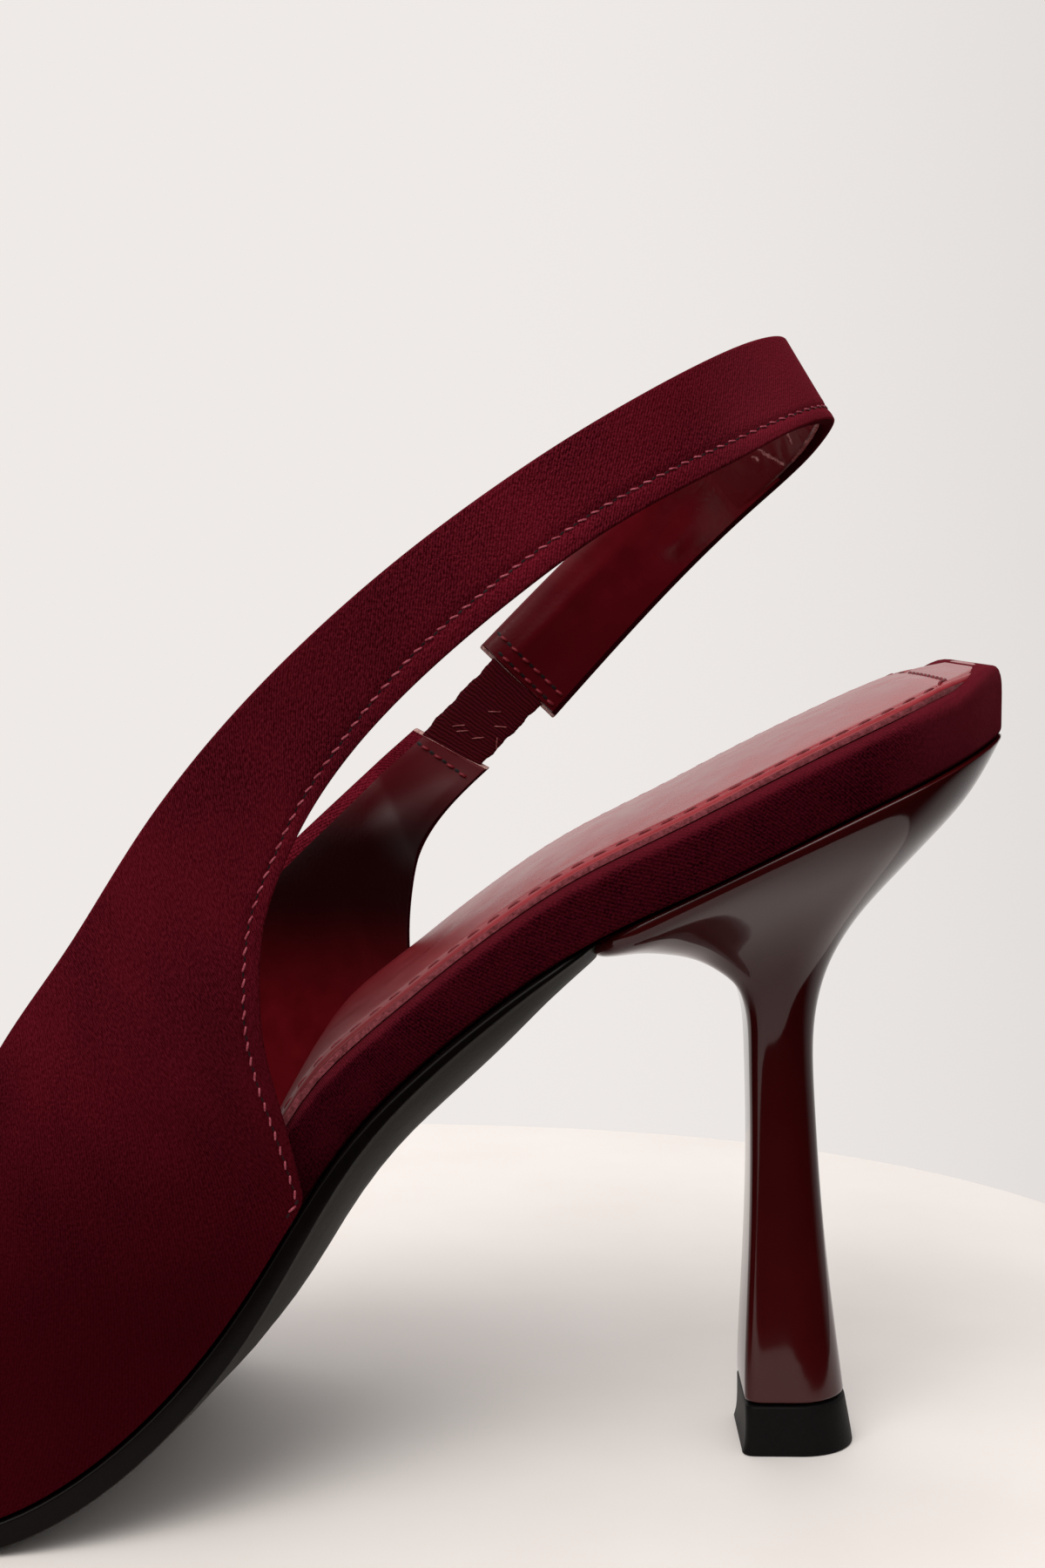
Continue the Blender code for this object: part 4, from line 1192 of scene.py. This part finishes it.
lift_table = (
    (30.5, 6.2, 17.6, 6.2, 7.5, 7.6, 6.7, 1.4), (30.5, 2.0, 16.8, 2.0, 7.7, 7.8, 6.9, 1.4),
    (30.9, 0.0, 16.5, 0.0, 7.9, 8.0, 7.0, 1.4))


def heel_cut(measures, inset):
    """D-shaped ring of one cut, drawn in all round by an inset."""
    breast_s, breast_z, back_s, back_z, breast_half, half, back_round, breast_round = measures
    length = sqrt((breast_s - back_s) ** 2 + (back_z - breast_z) ** 2)
    shares = 0.5 - 0.5 * np.cos(np.linspace(0.0, pi, 30))
    shares = shares ** 1.15
    wide = breast_half + (half - breast_half) * np.minimum(1.0, 2.0 * shares)
    wide = wide - end_round(shares * length, breast_round) - end_round((1.0 - shares) * length, back_round)
    wide = np.maximum(wide - inset, 0.02)
    draw = inset / length
    shares = draw + shares * (1.0 - 2.0 * draw)
    stations = breast_s + (back_s - breast_s) * shares
    heights = breast_z + (back_z - breast_z) * shares
    near = np.stack((stations, -wide, heights), axis=-1)
    far = np.stack((stations, wide, heights), axis=-1)[::-1]
    return np.concatenate((near, far))


def heel_loft(name, table, per_cut, edge, material, slot, node):
    """Stack of cuts with softened first and last edges."""
    curve = natural_curve(range(len(table)), table)
    last = len(table) - 1
    first_step = edge / abs(table[0][3] - table[1][3])
    last_step = edge / abs(table[-1][3] - table[-2][3])
    turns = np.linspace(0.0, 0.5 * pi, 5)
    rings = [heel_cut(curve(first_step * (1.0 - sin(a))), edge * (1.0 - cos(a))) for a in turns[::-1]]
    rings += [heel_cut(curve(place), 0.0) for place in np.linspace(0.0, last, last * per_cut + 1)
              if first_step < place < last - last_step]
    rings += [heel_cut(curve(last - last_step * (1.0 - sin(a))), edge * (1.0 - cos(a))) for a in turns]
    piece(name, closed_grid(in_frame(rings)), (material,), slot, node)


heel_loft("lacquered_heel", heel_table, per_cut=6, edge=0.5, material=lacquer, slot="heel_lacquer",
          node="heel")
heel_loft("rubber_top_lift", lift_table, per_cut=3, edge=0.3, material=lift_rubber, slot="lift_rubber",
          node="top_lift")

# %% [markdown]
# The shoe stands on an oval white stand, and the surroundings stand for the pale wall: a soft gradient,
# bright behind and overhead, dimmer on the heel's side and dark low down on the camera's side, so that the
# lacquer has something to mirror. One large soft light above the camera gives the satin its sheen and the
# sole its gentle shadow.

# %% Stand, surroundings and lights
painted, tree = new_material("matt_white_paint")
strokes = clouds(tree, on_object(tree), 30.0, detail=5.0)
principled(tree, {"Base Color": blend(tree, strokes, "#f0ebe7", "#faf7f5"), "Roughness": 0.6})

STAND_MIDDLE, STAND_HALF, STAND_CORE = np.array((0.0175, 0.034)), np.array((0.1525, 0.144)), 0.1285
STAND_THICKNESS, STAND_EDGE, STAND_ROUNDNESS = 0.03, 0.004, 2.4
turns = np.linspace(0.0, 2.0 * pi, 160, endpoint=False)
oval = squared(np.stack((np.cos(turns), np.sin(turns)), axis=-1), 2.0 / STAND_ROUNDNESS)
profile = [(inset, 0.0) for inset in np.linspace(STAND_CORE, STAND_EDGE, 9)]
profile += [(STAND_EDGE * (1.0 - sin(a)), -STAND_EDGE * (1.0 - cos(a)))
            for a in np.linspace(0.0, 0.5 * pi, 8)[1:]]
profile += [(0.0, -STAND_THICKNESS), (STAND_CORE, -STAND_THICKNESS)]
stand_rings = [[(*(STAND_MIDDLE + (STAND_HALF - inset) * way), z) for way in oval] for inset, z in profile]
stand = smooth_object("white_stand", closed_grid(stand_rings), (painted,), bpy.context.scene.collection)

world = bpy.data.worlds.new("studio")
bpy.context.scene.world = world
world.use_nodes = True
tree = world.node_tree
tree.nodes.clear()
way = add(tree, "SeparateXYZ", {0: add(tree, "TexCoord").outputs["Generated"]}).outputs
WALL_GLOW = 0.86
behind = ramp(tree, way["Y"], 0.05, 0.5, high=WALL_GLOW, soft=True)
falloff = ramp(tree, way["X"], -0.05, 1.0, low=1.0, high=0.3, soft=True)
above = ramp(tree, way["Z"], 0.0, 0.45, low=0.02, high=0.96, soft=True)
room = reckon(tree, "MAXIMUM", behind, above)
# Looked at directly, the backdrop is as pale all round as it is behind the shoe.
seen = reckon(tree, "MULTIPLY", add(tree, "LightPath").outputs["Is Camera Ray"], WALL_GLOW)
glow = reckon(tree, "MULTIPLY", reckon(tree, "MAXIMUM", room, seen), falloff)
sky = add(tree, "Background", {"Color": linear("#fffaf7"), "Strength": glow})
add(tree, "OutputWorld", {"Surface": sky.outputs[0]})


def softbox(name, place, aim, size, power, tint):
    """A square soft light aimed at a point."""
    data = bpy.data.lights.new(name, "AREA")
    data.size, data.energy, data.color = size, power, linear(tint)[:3]
    lamp = bpy.data.objects.new(name, data)
    lamp.location = place
    lamp.rotation_euler = (Vector(aim) - Vector(place)).to_track_quat("-Z", "Y").to_euler()
    bpy.context.scene.collection.objects.link(lamp)


softbox("key_softbox", (-0.2, -0.6, 0.85), (0.0, 0.0, 0.03), size=0.7, power=6.2, tint="#fffaf5")
bpy.context.scene.view_settings.view_transform = "Standard"
print("stand", [round(2.0 * half, 3) for half in STAND_HALF], "m, one soft light")
